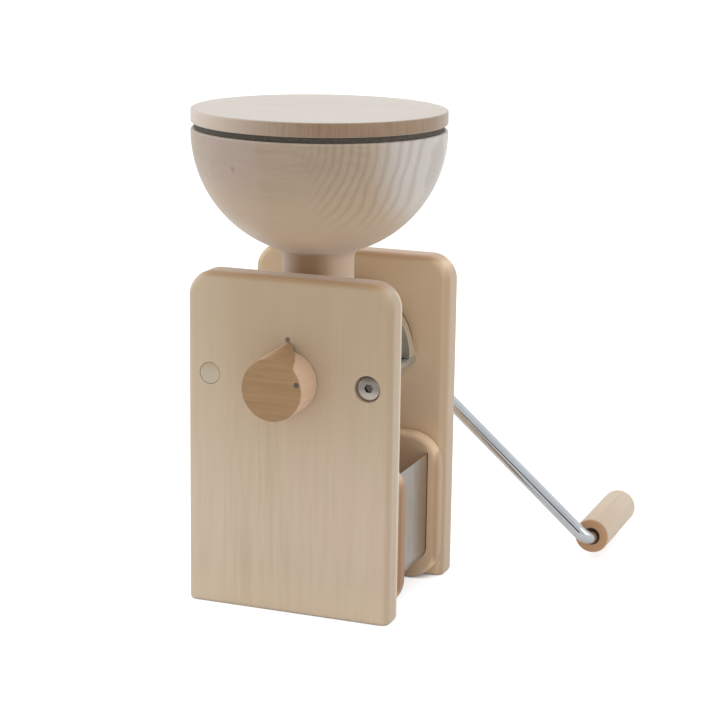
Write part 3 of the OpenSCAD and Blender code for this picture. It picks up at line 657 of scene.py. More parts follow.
def rim_painted_shade(shader, coords, tint):
    """Painted light on the housing: the drum and the rim's front get a grey painted reflection low down,
    and the rim's back edge a dark painted shadow above.
    """
    x, y, height = shader.axes(coords)
    z = shader.math("SUBTRACT", height, AXIS_Z)
    inner = shader.patch((y, RIM_Y[0] + 0.0006, RIM_Y[0]), (z, 0.034, 0.012))
    rim = (shader.reach(x, z), RIM_R - 0.0015, RIM_R - 0.0005)
    back = shader.patch(rim, (y, RIM_Y[1] - 0.0025, RIM_Y[1] - 0.0015), (z, 0.004, 0.018))
    # Both tones are painted: a reflection on the front and a shadow at the back edge.
    return shader.toned(
        tint,
        (inner, srgb(182, 178, 173), 0.9),
        (back, srgb(112, 86, 60), 0.85),
    )


housing_steel = metal("housing_steel", srgb(238, 231, 220), 0.42, figure=rim_painted_shade)
# The tie rods' bluish tint is a painted reflection: it offsets the brown of the boards that they mirror.
rod_steel = metal("rod_steel", srgb(212, 222, 234), 0.30)
shaft_steel = metal("shaft_steel", srgb(190, 191, 192), 0.26)
fastener_steel = metal("fastener_steel", srgb(196, 190, 182), 0.28)
dark_steel = metal("dark_steel", srgb(96, 96, 96), 0.38)
cast_aluminium = metal("cast_aluminium", srgb(192, 194, 196), 0.46, 0.06, None, 0.25)
bronze = metal("bronze", srgb(196, 160, 104), 0.30)
millstone = matt("millstone", srgb(176, 172, 162), srgb(138, 134, 126), 900.0, 0.85, 0.6)
mark_brown = matt("mark_brown", srgb(138, 112, 104), srgb(116, 92, 86), 900.0, 0.6, 0.1)
seal = matt("seal", srgb(80, 73, 62), srgb(64, 58, 49), 500.0, 0.7, 0.2)
print("finishes:", len(bpy.data.materials))

# %% [markdown]
# The two boards are alike: 25 mm thick, with round top corners and all long edges rounded over.
# Each is a stack of rounded rectangles: one outline, drawn in by the rounding's depth at every
# step through the thickness. It is made too long, sawn off at the table and rounded there a little.

# %% Plates with rounded edges
CORNER_STEPS = 20
EDGE_STEPS = 10
RIM_SUPPORT = 0.0008


def rounded_rectangle(half_width, low, high, radius):
    """Outline in the XZ plane: four quarter circles, joined by straight sides, counted once round."""
    quarter = np.radians(np.linspace(0.0, 90.0, CORNER_STEPS + 1))
    top = high - radius
    foot = low + radius
    corners = []
    for side, z, start in ((1, top, 0), (-1, top, 90), (-1, foot, 180), (1, foot, 270)):
        a = quarter + math.radians(start)
        x = side * (half_width - radius) + radius * np.cos(a)
        corners.append(np.stack([x, z + radius * np.sin(a)], axis=-1))
    return np.concatenate(corners)


def plate(y_middle, thick, half_width, low, high, radius, edge):
    """Plate: at angle f through the rounding, the outline is drawn in by edge * (1 - cos f), while the
    depth goes to half the thickness less edge * (1 - sin f). Flat faces close both sides."""
    f = np.radians(np.linspace(90.0, 0.0, EDGE_STEPS + 1))
    inset = edge * (1.0 - np.cos(f))
    depth = thick / 2.0 - edge * (1.0 - np.sin(f))
    inset = np.concatenate([[edge + RIM_SUPPORT], inset, inset[::-1], [edge + RIM_SUPPORT]])
    depth = np.concatenate([[-thick / 2.0], -depth, depth[::-1], [thick / 2.0]])
    rows = []
    for d, y in zip(inset, depth):
        line = rounded_rectangle(half_width - d, low + d, high - d, radius - d)
        rows.append(np.stack([line[:, 0], np.full(len(line), y_middle + y), line[:, 1]], axis=-1))
    return np.concatenate(rows), capped_quads(len(rows), len(rows[0]))


def rod_shell(radius, start, end, x, z, turns=96):
    """Closed cylinder along Y from start to end."""
    profile = [(0.0, start), (radius, start), (radius, end), (0.0, end)]
    return lathe(profile, (x, 0.0, z), "y", turns)


print("points in a plate's outline:", 4 * (CORNER_STEPS + 1))


# %% The two boards
BOARD_CORNER = 0.020
BOARD_EDGE = 0.006
FOOT_EDGE = 0.0025
FOOT_STEPS = 8
TIE_X = 0.0525
TIE_Z = 0.1745
BOLT_X = 0.0625
CAP_RECESS_R = 0.010
CAP_RECESS = 0.0055
PLAIN_RECESS_R = 0.0082
MARK_Z = 0.2101
MARK_R = 0.002
MARK_LEN = 0.010
CUT_SPARE = 0.002
PIN_TURNS = 32
BUSH_R = 0.012
ADJUSTER_R = 0.013


def sawn_off(mesh):
    """The mesh cut off at the table, with the edge of the cut rounded over. A loop of points just above the
    rounding keeps the faces over it flat."""
    work = bmesh.new()
    work.from_mesh(mesh)

    def slice_at(level, clear):
        everything = work.verts[:] + work.edges[:] + work.faces[:]
        cut = bmesh.ops.bisect_plane(
            work, geom=everything, dist=1e-7, plane_co=(0, 0, level), plane_no=(0, 0, -1), clear_outer=clear
        )
        return [e for e in cut["geom_cut"] if isinstance(e, bmesh.types.BMEdge)]

    slice_at(FOOT_EDGE + RIM_SUPPORT, False)
    rim = slice_at(0.0, True)
    bmesh.ops.contextual_create(work, geom=rim)
    bmesh.ops.bevel(
        work,
        geom=rim,
        offset=FOOT_EDGE,
        offset_type="OFFSET",
        segments=FOOT_STEPS,
        profile=0.5,
        affect="EDGES",
    )
    work.to_mesh(mesh)
    work.free()
    return mesh


def bored_board(side):
    """Board on one side (-1 front, 1 back) with the recesses and the shaft's hole."""
    middle = side * (Y_IN + BOARD_T / 2.0)
    low = -2.0 * BOARD_CORNER
    shell = plate(middle, BOARD_T, HALF_W, low, BOARD_H, BOARD_CORNER, BOARD_EDGE)
    board = sawn_off(new_mesh("board", *shell))
    x, z = (BOLT_X, AXIS_Z) if side < 0 else (TIE_X, TIE_Z)
    left_r = PLAIN_RECESS_R if side < 0 else CAP_RECESS_R
    bore = ADJUSTER_R if side < 0 else BUSH_R
    outside = side * (Y_OUT + CUT_SPARE)
    recess = side * (Y_OUT - CAP_RECESS)
    tools = [
        rod_shell(left_r, recess, outside, -x, z),
        rod_shell(CAP_RECESS_R, recess, outside, x, z),
        rod_shell(bore, side * (Y_IN - CUT_SPARE), outside, 0.0, AXIS_Z),
    ]
    if side < 0:
        tools.append(rod_shell(MARK_R, MARK_LEN - Y_OUT, outside, 0.0, MARK_Z, PIN_TURNS))
    return cut_away(board, *tools)


add_piece("front_board_wood", bored_board(-1), "stand", "board_wood", board_wood, "front_board")
add_piece("back_board_wood", bored_board(1), "stand", "board_wood", board_wood, "back_board")

# %% [markdown]
# Two steel rods hold the boards apart. In front they are screwed into the inlet casting, which
# two bolts pull against the front board; behind they end in cap nuts. The nuts and the right bolt
# have the same flat head with a hexagon socket, sunk in the board. The left bolt has a plain head
# that fills its recess. A six-sided cutter makes the sockets.

# %% Tie rods, bolts and cap nuts
TIE_R = 0.0035
TIE_START = -0.044
CAP_R = 0.00875
PLAIN_R = 0.0080
CAP_T = 0.0025
CAP_ROUND = 0.0004
BOLT_R = 0.003
BOLT_END = -0.044
BARREL_R = 0.0045
BARREL_END = 0.0595
SOCKET_WIDE = 0.006
SOCKET_R = SOCKET_WIDE / math.sqrt(3.0)
SOCKET_LOOP_R = 1.25 * SOCKET_R
SOCKET_DEPTH = 0.0019
HEAD_SINK = 0.003
PLAIN_SINK = 0.0001
HEAD_FACE = Y_OUT - HEAD_SINK
PLAIN_FACE = Y_OUT - PLAIN_SINK
PLAIN_T = CAP_RECESS - PLAIN_SINK

tie_shells = [rod_shell(TIE_R, TIE_START, Y_IN, s * TIE_X, TIE_Z) for s in (-1, 1)]
tie_mesh = new_mesh("tie_rods", *join_shells(tie_shells))
add_piece("tie_rods_steel", tie_mesh, "stand", "polished_steel", rod_steel, "tie_rods")


def head_on_shank(name, side, x, z, shank_r, shank_end, head_r, head_t, depth):
    """A turned head with a rounded rim in one board (-1 front, 1 back) on its shank. depth is the distance
    of its face from the middle between the boards."""
    face = side * depth
    rim = arc((head_r - CAP_ROUND, -CAP_ROUND), CAP_ROUND, 90, 0, 6)
    shank = (shank_end - face) * side
    inner = [(0.0, 0.0), (SOCKET_LOOP_R, 0.0)]
    outer = [(head_r, -head_t), (shank_r, -head_t), (shank_r, shank), (0.0, shank)]
    profile = np.concatenate([inner, rim, outer])
    profile[:, 1] *= side
    return new_mesh(name, *lathe(profile, (x, face, z), "y", 96))


def socket_head(name, side, x, z, shank_r, shank_end):
    """The flat head of the right bolt and of the cap nuts, with a hexagon socket cut in."""
    face = side * HEAD_FACE
    mesh = head_on_shank(name, side, x, z, shank_r, shank_end, CAP_R, CAP_T, HEAD_FACE)
    hexagon = rod_shell(SOCKET_R, face - side * SOCKET_DEPTH, face + side * CUT_SPARE, x, z, 6)
    return cut_away(mesh, hexagon)


def bolt_heads_and_painted_shade(shader, coords, tint):
    """Painted shade on the right bolt: its socket, under the head's face near the bolt's axis, is painted
    dark as shade in the hole, and the head gets a painted shadow above the socket and a painted highlight
    below. The left bolt has a plain, paler head."""
    x, y, height = shader.axes(coords)
    z = shader.math("SUBTRACT", height, AXIS_Z)
    inside = (shader.reach(x, z, (BOLT_X, 0.0)), SOCKET_R + 0.0003, SOCKET_R)
    socket = shader.patch(inside, (y, 0.0001 - HEAD_FACE, 0.0006 - HEAD_FACE))
    plain = shader.toned(srgb(192, 180, 160), (shader.ramp(z, 0.000, 0.007), srgb(189, 170, 142), 1.0))
    # Painted shadow above, painted highlight below and painted shade in the socket; plain is the left head's
    # paler tone.
    return shader.toned(
        tint,
        (shader.ramp(z, 0.0035, 0.0080), srgb(96, 84, 72), 0.8),
        (shader.ramp(z, 0.0005, -0.0060), srgb(196, 187, 178), 0.8),
        (shader.ramp(x, 0.001, -0.001), plain, 1.0),
        (socket, srgb(86, 84, 80), 0.95),
    )


bolt_steel = metal("bolt_steel", srgb(148, 141, 133), 0.32, figure=bolt_heads_and_painted_shade)
bolt_mesh = socket_head("front_bolts", -1, BOLT_X, AXIS_Z, BOLT_R, BOLT_END)
plain_head = head_on_shank(
    "left_bolt", -1, -BOLT_X, AXIS_Z, BOLT_R, BOLT_END, PLAIN_R, PLAIN_T, PLAIN_FACE
)
bolt_mesh = joined(bolt_mesh, plain_head)
add_piece("front_bolts_steel", bolt_mesh, "stand", "fastener_steel", bolt_steel, "front_bolts")
cap_mesh = socket_head("rear_caps", 1, -TIE_X, TIE_Z, BARREL_R, BARREL_END)
cap_mesh = joined(cap_mesh, socket_head("right_cap", 1, TIE_X, TIE_Z, BARREL_R, BARREL_END))
add_piece("rear_cap_nuts_steel", cap_mesh, "stand", "fastener_steel", fastener_steel, "rear_cap_nuts")

# %% [markdown]
# The adjusting knob is a round bar. Its face runs up and back to a pointer's tip at the board:
# straight lines lead from the face's circle to the tip's small circle, which gives a slanting
# cone that leaves the bar at its upper half. Face and cone are end grain and darker than the bar's
# flank, so each face of the mesh carries a mark that says which it is. On the cone the mark fades
# out on faces turned to the left: painted light, where that side of the pointer catches the light.

# %% The adjusting knob
KNOB_R = 0.0235
KNOB_BACK = -0.0758
KNOB_FACE = -0.1060
KNOB_ROUND = 0.0014
POINTER = 0.0295
POINTER_TURN = math.radians(3.0)
TIP_R = 0.0034
KNOB_PIN = (0.0199, 0.1847)
KNOB_HOLE_R = 0.00195
KNOB_HOLE = 0.005
KNOB_TURNS = 192
CONE_PROUD = 0.00005
CONE_HALF = math.acos((KNOB_R - TIP_R) / (POINTER - TIP_R))
SHADE_FROM = math.radians(-40.0)
SHADE_TO = math.radians(2.0)
FACE_TILT = -0.4

knob_profile = np.concatenate([
    [(0.0, KNOB_BACK), (KNOB_R, KNOB_BACK)],
    arc((KNOB_R - KNOB_ROUND, KNOB_FACE + KNOB_ROUND), KNOB_ROUND, 0, -90, 8),
    [(0.0, KNOB_FACE)],
])
knob_bar = new_mesh("knob", *lathe(knob_profile, (0.0, 0.0, AXIS_Z), "y", KNOB_TURNS))
knob_hole = rod_shell(KNOB_HOLE_R, KNOB_FACE - CUT_SPARE, KNOB_FACE + KNOB_HOLE, *KNOB_PIN, PIN_TURNS)
knob_bar = cut_away(knob_bar, knob_hole)


def pointer_cone():
    """Slanting cone: the ring at share s from the tip (0) to the face (1) has the radius and the centre that
    lie at s between those of the tip's circle and of the face's circle."""
    t = np.linspace(0.0, 2.0 * math.pi, KNOB_TURNS, endpoint=False)
    s = np.array([0.0, 0.0, 0.35, 0.7, 1.0, 1.0])[:, None]
    closed = np.array([0.0, 1.0, 1.0, 1.0, 1.0, 0.0])[:, None]
    radius = (TIP_R + (KNOB_R + CONE_PROUD - TIP_R) * s) * closed
    middle = (POINTER - TIP_R) * (1.0 - s)
    y = KNOB_BACK + (KNOB_FACE + KNOB_ROUND - KNOB_BACK) * s
    x = middle * math.sin(POINTER_TURN) + radius * np.sin(t)
    z = AXIS_Z + middle * math.cos(POINTER_TURN) + radius * np.cos(t)
    points = np.stack([x, np.broadcast_to(y, x.shape), z], axis=-1).reshape(-1, 3)
    return points, grid_quads(len(s), KNOB_TURNS, close_cols=True)


bar_faces = len(knob_bar.polygons)
knob_bar = joined(knob_bar, new_mesh("pointer", *pointer_cone()))
normals = np.array([f.normal for f in knob_bar.polygons])
middles = np.array([f.center for f in knob_bar.polygons])
# Painted light: the mark fades on faces turned towards -X, where the pointer's left side catches the light.
around = np.arctan2(normals[:, 0], normals[:, 2]) - POINTER_TURN
share = np.clip((around - SHADE_FROM) / (SHADE_TO - SHADE_FROM), 0.0, 1.0)
mark = share * share * (3.0 - 2.0 * share)
flank = (middles[:, 1] > KNOB_FACE + KNOB_ROUND) | (np.abs(around) > CONE_HALF)
mark[:bar_faces] *= ~flank[:bar_faces]
mark = np.where(normals[:, 1] < FACE_TILT, np.maximum(mark, np.arange(len(mark)) < bar_faces), mark)
mark = mark.astype(np.float32)
knob_bar.attributes.new("face_wood", "FLOAT", "FACE").data.foreach_set("value", mark)


def knob_tones(shader, coords, color):
    """Face and pointer are end grain, darker than the flank, with fine lines across. Where the mark fades,
    on the pointer's left, the paler flank tone stands in as painted light.
    """
    mark = shader.add("Attribute", {"attribute_name": "face_wood"}).outputs["Fac"]
    line = noise(shader, stretched(shader, coords, (0.05, 1.0, 1.0)), 420.0, 3.0, 0.6)
    face = shader.mix(shader.ramp(line, 0.35, 0.7), srgb(161, 127, 87), srgb(150, 115, 75))
    return shader.toned(color, (mark, face, 0.9))


knob_wood = wood(
    "knob_wood",
    srgb(216, 184, 156),
    srgb(196, 160, 130),
    srgb(212, 176, 148),
    grain=1,
    figure=knob_tones,
)
add_piece("adjusting_knob_wood", knob_bar, "knob", "knob_wood", knob_wood, "adjusting_knob")

# %% [markdown]
# The hopper is one turned piece: bowl, neck and spigot. Its outside is an arc that meets the
# neck in a small hollow and the rim in a small round, its inside an arc one wall further in. The
# lid is a flat turned disc, and a grey ring under it leaves a dark line between lid and bowl.

# %% Hopper, lid and sealing ring
HOPPER_Y = -0.017
BOWL_FLAT = 0.003
BOWL_ARC = 0.092
RIM_BEVEL = 0.0015
BOWL_IN = 0.083
NECK_R = 0.027
NECK_FILLET = 0.009
THROAT_R = 0.014
SPIGOT_R = 0.019
SEAT_Z = 0.232
SPIGOT_END = 0.2085


def hopper_profile():
    """Closed outline of the turned hopper: spigot, neck, hollow, outer arc, rim, inner arc, grain hole."""
    hollow_x = NECK_R + NECK_FILLET
    middle = RIM_Z - RIM_BEVEL
    hollow_z = middle - math.sqrt((BOWL_ARC + NECK_FILLET) ** 2 - (hollow_x - BOWL_FLAT) ** 2)
    meet = math.degrees(math.atan2(middle - hollow_z, BOWL_FLAT - hollow_x))
    outer_start = math.degrees(math.atan2(hollow_z - middle, hollow_x - BOWL_FLAT))
    inner_end = -math.degrees(math.acos((THROAT_R - BOWL_FLAT) / BOWL_IN))
    return np.concatenate([
        [(THROAT_R, SPIGOT_END), (SPIGOT_R, SPIGOT_END), (SPIGOT_R, SEAT_Z), (NECK_R, SEAT_Z)],
        arc((hollow_x, hollow_z), NECK_FILLET, 180, meet, 14),
        arc((BOWL_FLAT, middle), BOWL_ARC, outer_start, 0, 72)[1:],
        arc((BOWL_FLAT + BOWL_ARC - RIM_BEVEL, middle), RIM_BEVEL, 15, 90, 5),
        arc((BOWL_FLAT, RIM_Z), BOWL_IN, 0, inner_end, 60),
    ])


hopper_mesh = new_mesh("hopper", *lathe(hopper_profile(), (0.0, HOPPER_Y, 0.0), "z", 192, loop=True))
add_piece("hopper_turned", hopper_mesh, "hopper", "bowl_wood", bowl_wood, "hopper")

LID_R = 0.095
LID_LOW = 0.3628
LID_TOP = 0.3733
LID_ROUND = 0.0014
LID_EDGE_SOFT = 0.0003
PLUG_R = 0.0851
PLUG_Z = 0.3505
PLUG_EDGE = 0.002
TOP_LOOP = 0.001
lid_profile = np.concatenate([
    [(0.0, PLUG_Z), (PLUG_R - PLUG_EDGE, PLUG_Z), (PLUG_R, PLUG_Z + PLUG_EDGE), (PLUG_R, LID_LOW)],
    arc((LID_R - LID_ROUND, LID_LOW + LID_ROUND), LID_ROUND, -90, 0, 6),
    arc((LID_R - LID_ROUND, LID_TOP - LID_ROUND), LID_ROUND, 0, 90, 6),
    [(LID_R - LID_ROUND - TOP_LOOP, LID_TOP), (0.0, LID_TOP)],
])


def lid_edge_and_painted_light(shader, coords, color):
    """The lid's rim is darker than its top: it shows where the distance from the lid's axis nears its
    radius. Painted light makes the rim paler towards -X, where light from the left falls on it."""
    x, y, _ = shader.axes(coords)
    distance = shader.reach(x, y, (0.0, HOPPER_Y))
    edge = LID_R - 0.4 * LID_ROUND
    rim = shader.ramp(distance, edge - LID_EDGE_SOFT, edge + LID_EDGE_SOFT)
    line = noise(shader, stretched(shader, coords, (1.0, 1.0, 0.06)), 500.0, 3.0, 0.6)
    tan = shader.mix(shader.ramp(line, 0.3, 0.75), srgb(152, 125, 98), srgb(133, 105, 79))
    # Painted light: the rim's tan turns paler towards -X.
    tan = shader.toned(tan, (shader.ramp(x, 0.045, -0.065), srgb(204, 186, 168), 0.92))
    return shader.toned(color, (rim, tan, 0.92))


lid_wood = wood(
    "lid_wood",
    srgb(174, 162, 147),
    srgb(158, 142, 125),
    srgb(170, 155, 137),
    grain=0,
    fibre=0.45,
    bands=0.7,
    sheen=0.6,
    figure=lid_edge_and_painted_light,
)
lid_mesh = new_mesh("lid", *lathe(lid_profile, (0.0, HOPPER_Y, 0.0), "z", 192))
add_piece("lid_turned", lid_mesh, "lid", "lid_wood", lid_wood, "lid")

RING_R = 0.0925
RING_IN = 0.0865
ring_profile = [(RING_IN, RIM_Z), (RING_R, RIM_Z), (RING_R, LID_LOW), (RING_IN, LID_LOW)]
ring_mesh = new_mesh("lid_ring", *lathe(ring_profile, (0.0, HOPPER_Y, 0.0), "z", 192, loop=True))
add_piece("lid_ring_seal", ring_mesh, "lid", "seal", seal, "lid_ring")

# %% [markdown]
# The stones turn in a steel drum against the back board. Its upper half carries a raised rim,
# the only part of it that shows beside the front board. The drum is turned, with a slot below for
# the flour. The rim is a section carried round half a circle, with flat feet just above the rods.

# %% The stone housing
DRUM_R = 0.0485
DRUM_IN = 0.0465
DRUM_FRONT = 0.011
DRUM_PLATE = 0.003
DRUM_BORE = 0.02305
DRUM_EDGE = 0.0008
FLANGE_IN = 0.036
FLANGE_T = 0.003
SLOT_HALF = 0.027
SLOT_Y = (0.0154, 0.0334)
RIM_FOOT = 0.0007
RIM_SINK = 0.0005
RIM_TURNS = 128


def drum_profile():
    """Closed section of the drum as (radius, y): front plate with its bore, wall, rear flange."""
    return np.concatenate([
        [(DRUM_BORE, DRUM_FRONT)],
        arc((DRUM_R - DRUM_EDGE, DRUM_FRONT + DRUM_EDGE), DRUM_EDGE, -90, 0, 4),
        [(DRUM_R, Y_IN), (FLANGE_IN, Y_IN), (FLANGE_IN, Y_IN - FLANGE_T), (DRUM_IN, Y_IN - FLANGE_T)],
        [(DRUM_IN, DRUM_FRONT + DRUM_PLATE), (DRUM_BORE, DRUM_FRONT + DRUM_PLATE)],
    ])


def half_rim():
    """Rim: a section point (r, y) goes round from the angle whose sine is -foot / r to the same angle on the
    other side, so both feet are flat."""
    inner = DRUM_R - RIM_SINK
    section = np.array([(inner, RIM_Y[0]), (RIM_R, RIM_Y[0]), (RIM_R, RIM_Y[1]), (inner, RIM_Y[1])])
    r = section[:, 0, None]
    start = -np.arcsin(RIM_FOOT / r)
    a = start + np.linspace(0.0, 1.0, RIM_TURNS + 1) * (math.pi - 2.0 * start)
    y = np.broadcast_to(section[:, 1, None], a.shape)
    points = np.stack([r * np.cos(a), y, AXIS_Z + r * np.sin(a)], axis=-1).reshape(-1, 3)
    count, cols = len(section), RIM_TURNS + 1
    faces = grid_quads(count, cols, close_rows=True).tolist()
    faces.append([i * cols for i in range(count)])
    faces.append([i * cols + cols - 1 for i in range(count)])
    return points, faces


def box_shell(low, high):
    """Closed box between two corners."""
    corners = np.array([[(low, high)[(i >> axis) & 1][axis] for axis in range(3)] for i in range(8)])
    faces = [(0, 1, 3, 2), (4, 6, 7, 5), (0, 4, 5, 1), (2, 3, 7, 6), (0, 2, 6, 4), (1, 5, 7, 3)]
    return corners, faces


drum_mesh = new_mesh("stone_housing", *lathe(drum_profile(), (0.0, 0.0, AXIS_Z), "y", 192, loop=True))
slot_low = (-SLOT_HALF, SLOT_Y[0], AXIS_Z - DRUM_R - CUT_SPARE)
slot_high = (SLOT_HALF, SLOT_Y[1], AXIS_Z - DRUM_BORE)
drum_mesh = cut_away(drum_mesh, box_shell(slot_low, slot_high))
drum_mesh = joined(drum_mesh, new_mesh("rim", *half_rim()))
add_piece("stone_housing_steel", drum_mesh, "stand", "polished_steel", housing_steel, "stone_housing")

# %% [markdown]
# The solids of the castings and of the chute are right already, so copies of them are merged and
# shaded smooth.


# %% Smooth copies of solids
COPY_SHARP_DEG = 28.0


def smooth_copy(node, body, slot, finish):
    """A copy of a solid's mesh with its points merged and smooth shading."""
    mesh = clean_mesh(nodes[node].data.copy(), COPY_SHARP_DEG)
    return add_piece(node + "_dressed", mesh, body, slot, finish, node)


smooth_copy("inlet_body", "stand", "cast_aluminium", cast_aluminium)
smooth_copy("flour_chute", "stand", "sheet_steel", sheet_steel)
smooth_copy("crank_hub", "rotor", "polished_steel", polished_steel)

# %% [markdown]
# The crank is one round rod: a stub in the hub, a bend, the long arm, a second bend, and the pin
# that the grip turns on. A circle is carried along that path. All of the path lies in one plane,
# so the direction across that plane serves every section and nothing can twist.

# %% The crank rod and its grip
CRANK_ANGLE = math.radians(41.0)
CRANK_R = 0.239
ROD_R = 0.0055
BEND_R = 0.011
ARM_Y = 0.119
STUB_Y = 0.091
PIN_END = 0.2093
arm_way = np.array([math.cos(CRANK_ANGLE), 0.0, -math.sin(CRANK_ANGLE)])
across = np.array([math.sin(CRANK_ANGLE), 0.0, math.cos(CRANK_ANGLE)])


def rod_shell_along(path, radius, turns=48):
    """Bent rod: at each path point p, the section is p + radius * (cos t * across + sin t * side), where
    side is at right angles to the path and to the across direction. Flat discs close both ends."""
    way = np.gradient(path, axis=0)
    way /= np.linalg.norm(way, axis=1)[:, None]
    side = np.cross(way, across)
    t = np.linspace(0.0, 2.0 * math.pi, turns, endpoint=False)
    ring = np.cos(t)[None, :, None] * across + np.sin(t)[None, :, None] * side[:, None, :]
    points = (path[:, None, :] + radius * ring).reshape(-1, 3)
    return points, capped_quads(len(path), turns)


def crank_path():
    """Path in the crank's plane, as (distance along the arm, y): a stub, a quarter bend, the straight arm, a
    second bend and the straight pin."""
    first = arc((BEND_R, ARM_Y - BEND_R), BEND_R, 180, 90, 20)
    second = arc((CRANK_R - BEND_R, ARM_Y + BEND_R), BEND_R, 270, 360, 20)
    flat = np.concatenate([[(0.0, STUB_Y)], first, second, [(CRANK_R, PIN_END)]])
    return np.array([0.0, 0.0, AXIS_Z]) + flat[:, :1] * arm_way + flat[:, 1:] * np.array([0.0, 1.0, 0.0])


rod_mesh = new_mesh("crank_rod", *rod_shell_along(crank_path(), ROD_R))
add_piece("crank_rod_steel", rod_mesh, "rotor", "polished_steel", polished_steel, "crank_rod")

GRIP_R = 0.01399
GRIP_Y = 0.131
GRIP_LEN = 0.094
GRIP_SLACK = 0.00005
GRIP_BORE = ROD_R + GRIP_SLACK
GRIP_MOUTH = 0.0015
GRIP_RECESS = 0.016
GRIP_RECESS_R = 0.009
GRIP_NEAR = 0.002
GRIP_FAR = 0.005
grip_end = GRIP_Y + GRIP_LEN
recess_floor = grip_end - GRIP_RECESS
grip_profile = np.concatenate([
    [(GRIP_BORE, GRIP_Y + GRIP_MOUTH), (GRIP_BORE + GRIP_MOUTH, GRIP_Y)],
    arc((GRIP_R - GRIP_NEAR, GRIP_Y + GRIP_NEAR), GRIP_NEAR, -90, 0, 6),
    arc((GRIP_R - GRIP_FAR, grip_end - GRIP_FAR), GRIP_FAR, 0, 90, 10),
    [(GRIP_RECESS_R, grip_end), (GRIP_RECESS_R, recess_floor), (GRIP_BORE, recess_floor)],
])
grip_origin = np.array([0.0, 0.0, AXIS_Z]) + CRANK_R * arm_way


def grip_end_grain_and_painted_shade(shader, coords, color):
    """End grain: both ends of the grip, found by the place along Y, are a darker tan. The bore's mouth,
    close to the grip's axis, is painted almost black as shade in the hole."""
    x, y, z = shader.axes(coords)
    near = shader.ramp(y, GRIP_Y + 0.0012, GRIP_Y + 0.0004)
    far = shader.ramp(y, grip_end - 0.0012, grip_end - 0.0004)
    distance = shader.reach(x, z, grip_origin[[0, 2]].tolist())
    mouth = shader.ramp(distance, GRIP_BORE + 0.0018, GRIP_BORE + 0.0012)
    # The mouth's near black is painted shade; the darker ends are end grain.
    return shader.toned(
        color,
        (shader.math("MAXIMUM", near, far), srgb(190, 147, 106), 0.9),
        (mouth, srgb(58, 44, 34), 0.9),
    )


grip_wood = wood(
    "grip_wood",
    srgb(202, 184, 162),
    srgb(180, 157, 131),
    srgb(198, 174, 150),
    grain=1,
    fibre=0.5,
    sheen=0.2,
    figure=grip_end_grain_and_painted_shade,
)
grip_mesh = new_mesh("crank_grip", *lathe(grip_profile, grip_origin, "y", 128, loop=True))
add_piece("crank_grip_wood", grip_mesh, "grip", "grip_wood", grip_wood, "crank_grip")

# %% [markdown]
# The drawer is a sheet bent to a U, let into grooves of two wooden ends. The sheet's section is
# a line with two quarter bends, given its thickness on the inside and drawn out along Y.

# %% The drawer
END_H = 0.1184
END_LIFT = 0.0005
END_T = 0.014
END_IN = 0.0354
END_CORNER = 0.026
END_EDGE = 0.004
SHEET_HALF = 0.072
SHEET_TOP = 0.104
SHEET_LOW = 0.015
SHEET_BEND = 0.013
SHEET_T = 0.001
GROOVE = 0.004
GROOVE_SLACK = 0.00025
GROOVE_END = 0.0001


def trough_line(inward, top):
    """Open U line in the XZ plane, moved inwards by a distance: up one side, round both bends."""
    r = SHEET_BEND - inward
    x = SHEET_HALF - SHEET_BEND
    z = SHEET_LOW + SHEET_BEND
    return np.concatenate([
        [(-SHEET_HALF + inward, top)],
        arc((-x, z), r, 180, 270, 24),
        arc((x, z), r, 270, 360, 24),
        [(SHEET_HALF - inward, top)],
    ])


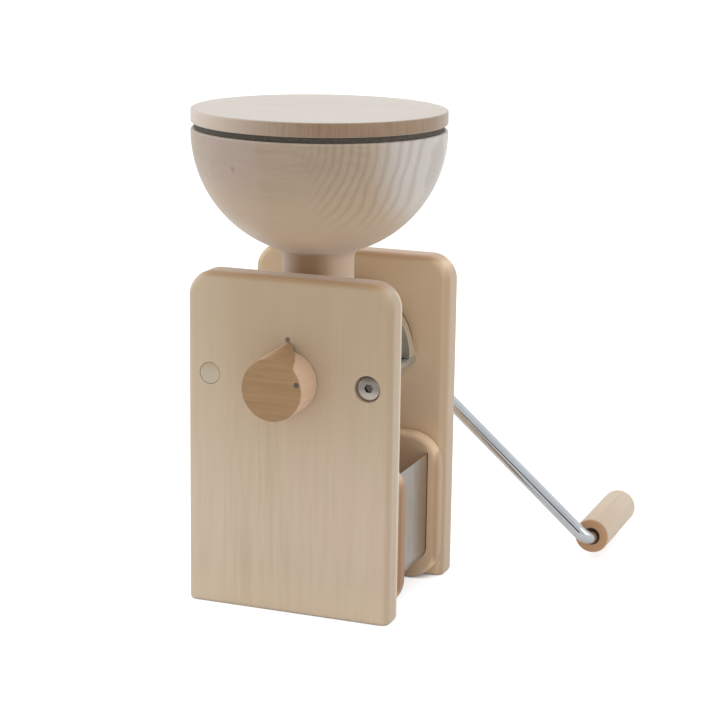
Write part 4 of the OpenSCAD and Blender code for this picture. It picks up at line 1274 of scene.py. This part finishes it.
def trough_shell(start, end, slack, top):
    """Sheet: the outer line and the inner line make one closed section, drawn from start to end along Y."""
    loop = np.concatenate([trough_line(-slack, top), trough_line(SHEET_T + slack, top)[::-1]])
    rows = [np.stack([loop[:, 0], np.full(len(loop), y), loop[:, 1]], axis=-1) for y in (start, end)]
    half = len(loop) // 2
    faces = grid_quads(2, len(loop), close_cols=True).tolist()
    for base in (0, len(loop)):
        strip = np.arange(half - 1)
        other = len(loop) - 1 - strip
        cells = np.stack([strip, strip + 1, other - 1, other], axis=-1) + base
        faces += cells.tolist()
    return np.concatenate(rows), faces


sheet_end = END_IN + GROOVE - GROOVE_END
trough_mesh = new_mesh("drawer_trough", *trough_shell(-sheet_end, sheet_end, 0.0, SHEET_TOP))
add_piece("drawer_trough_sheet", trough_mesh, "drawer", "sheet_steel", sheet_steel, "drawer_trough")


def drawer_end(side):
    """Wooden end on one side (-1 front, 1 rear) with the groove that takes the sheet."""
    middle = side * (END_IN + END_T / 2.0)
    shell = plate(middle, END_T, HALF_W, END_LIFT, END_H, END_CORNER, END_EDGE)
    low, high = sorted((side * (END_IN - CUT_SPARE), side * (END_IN + GROOVE)))
    groove = trough_shell(low, high, GROOVE_SLACK, SHEET_TOP + GROOVE_SLACK)
    return cut_away(new_mesh("drawer_end", *shell), groove)


add_piece("drawer_front_wood", drawer_end(-1), "drawer", "drawer_wood", drawer_wood, "drawer_front_end")
add_piece("drawer_rear_wood", drawer_end(1), "drawer", "drawer_wood", drawer_wood, "drawer_rear_end")

# %% [markdown]
# What is left are the pieces inside the mill and small hardware. Their solids stay as they are
# and only get their finish.

# %% Finishes for the solids that stay
finishes = {
    "polished_steel": polished_steel,
    "sheet_steel": sheet_steel,
    "shaft_steel": shaft_steel,
    "fastener_steel": fastener_steel,
    "dark_steel": dark_steel,
    "cast_aluminium": cast_aluminium,
    "bronze": bronze,
    "millstone": millstone,
}
slot_of = {part["node"]: part["material_slot"] for part in frame["record"]["subparts"]}
for node, solid in nodes.items():
    if slot_of[node] in finishes:
        solid.data.materials.clear()
        solid.data.materials.append(finishes[slot_of[node]])
nodes["reference_pin"].data.materials[0] = mark_brown
print("solids shown:", [n for n, o in nodes.items() if not o.hide_render])

# %% [markdown]
# Last, the view layer is brought up to date.

bpy.context.view_layer.update()
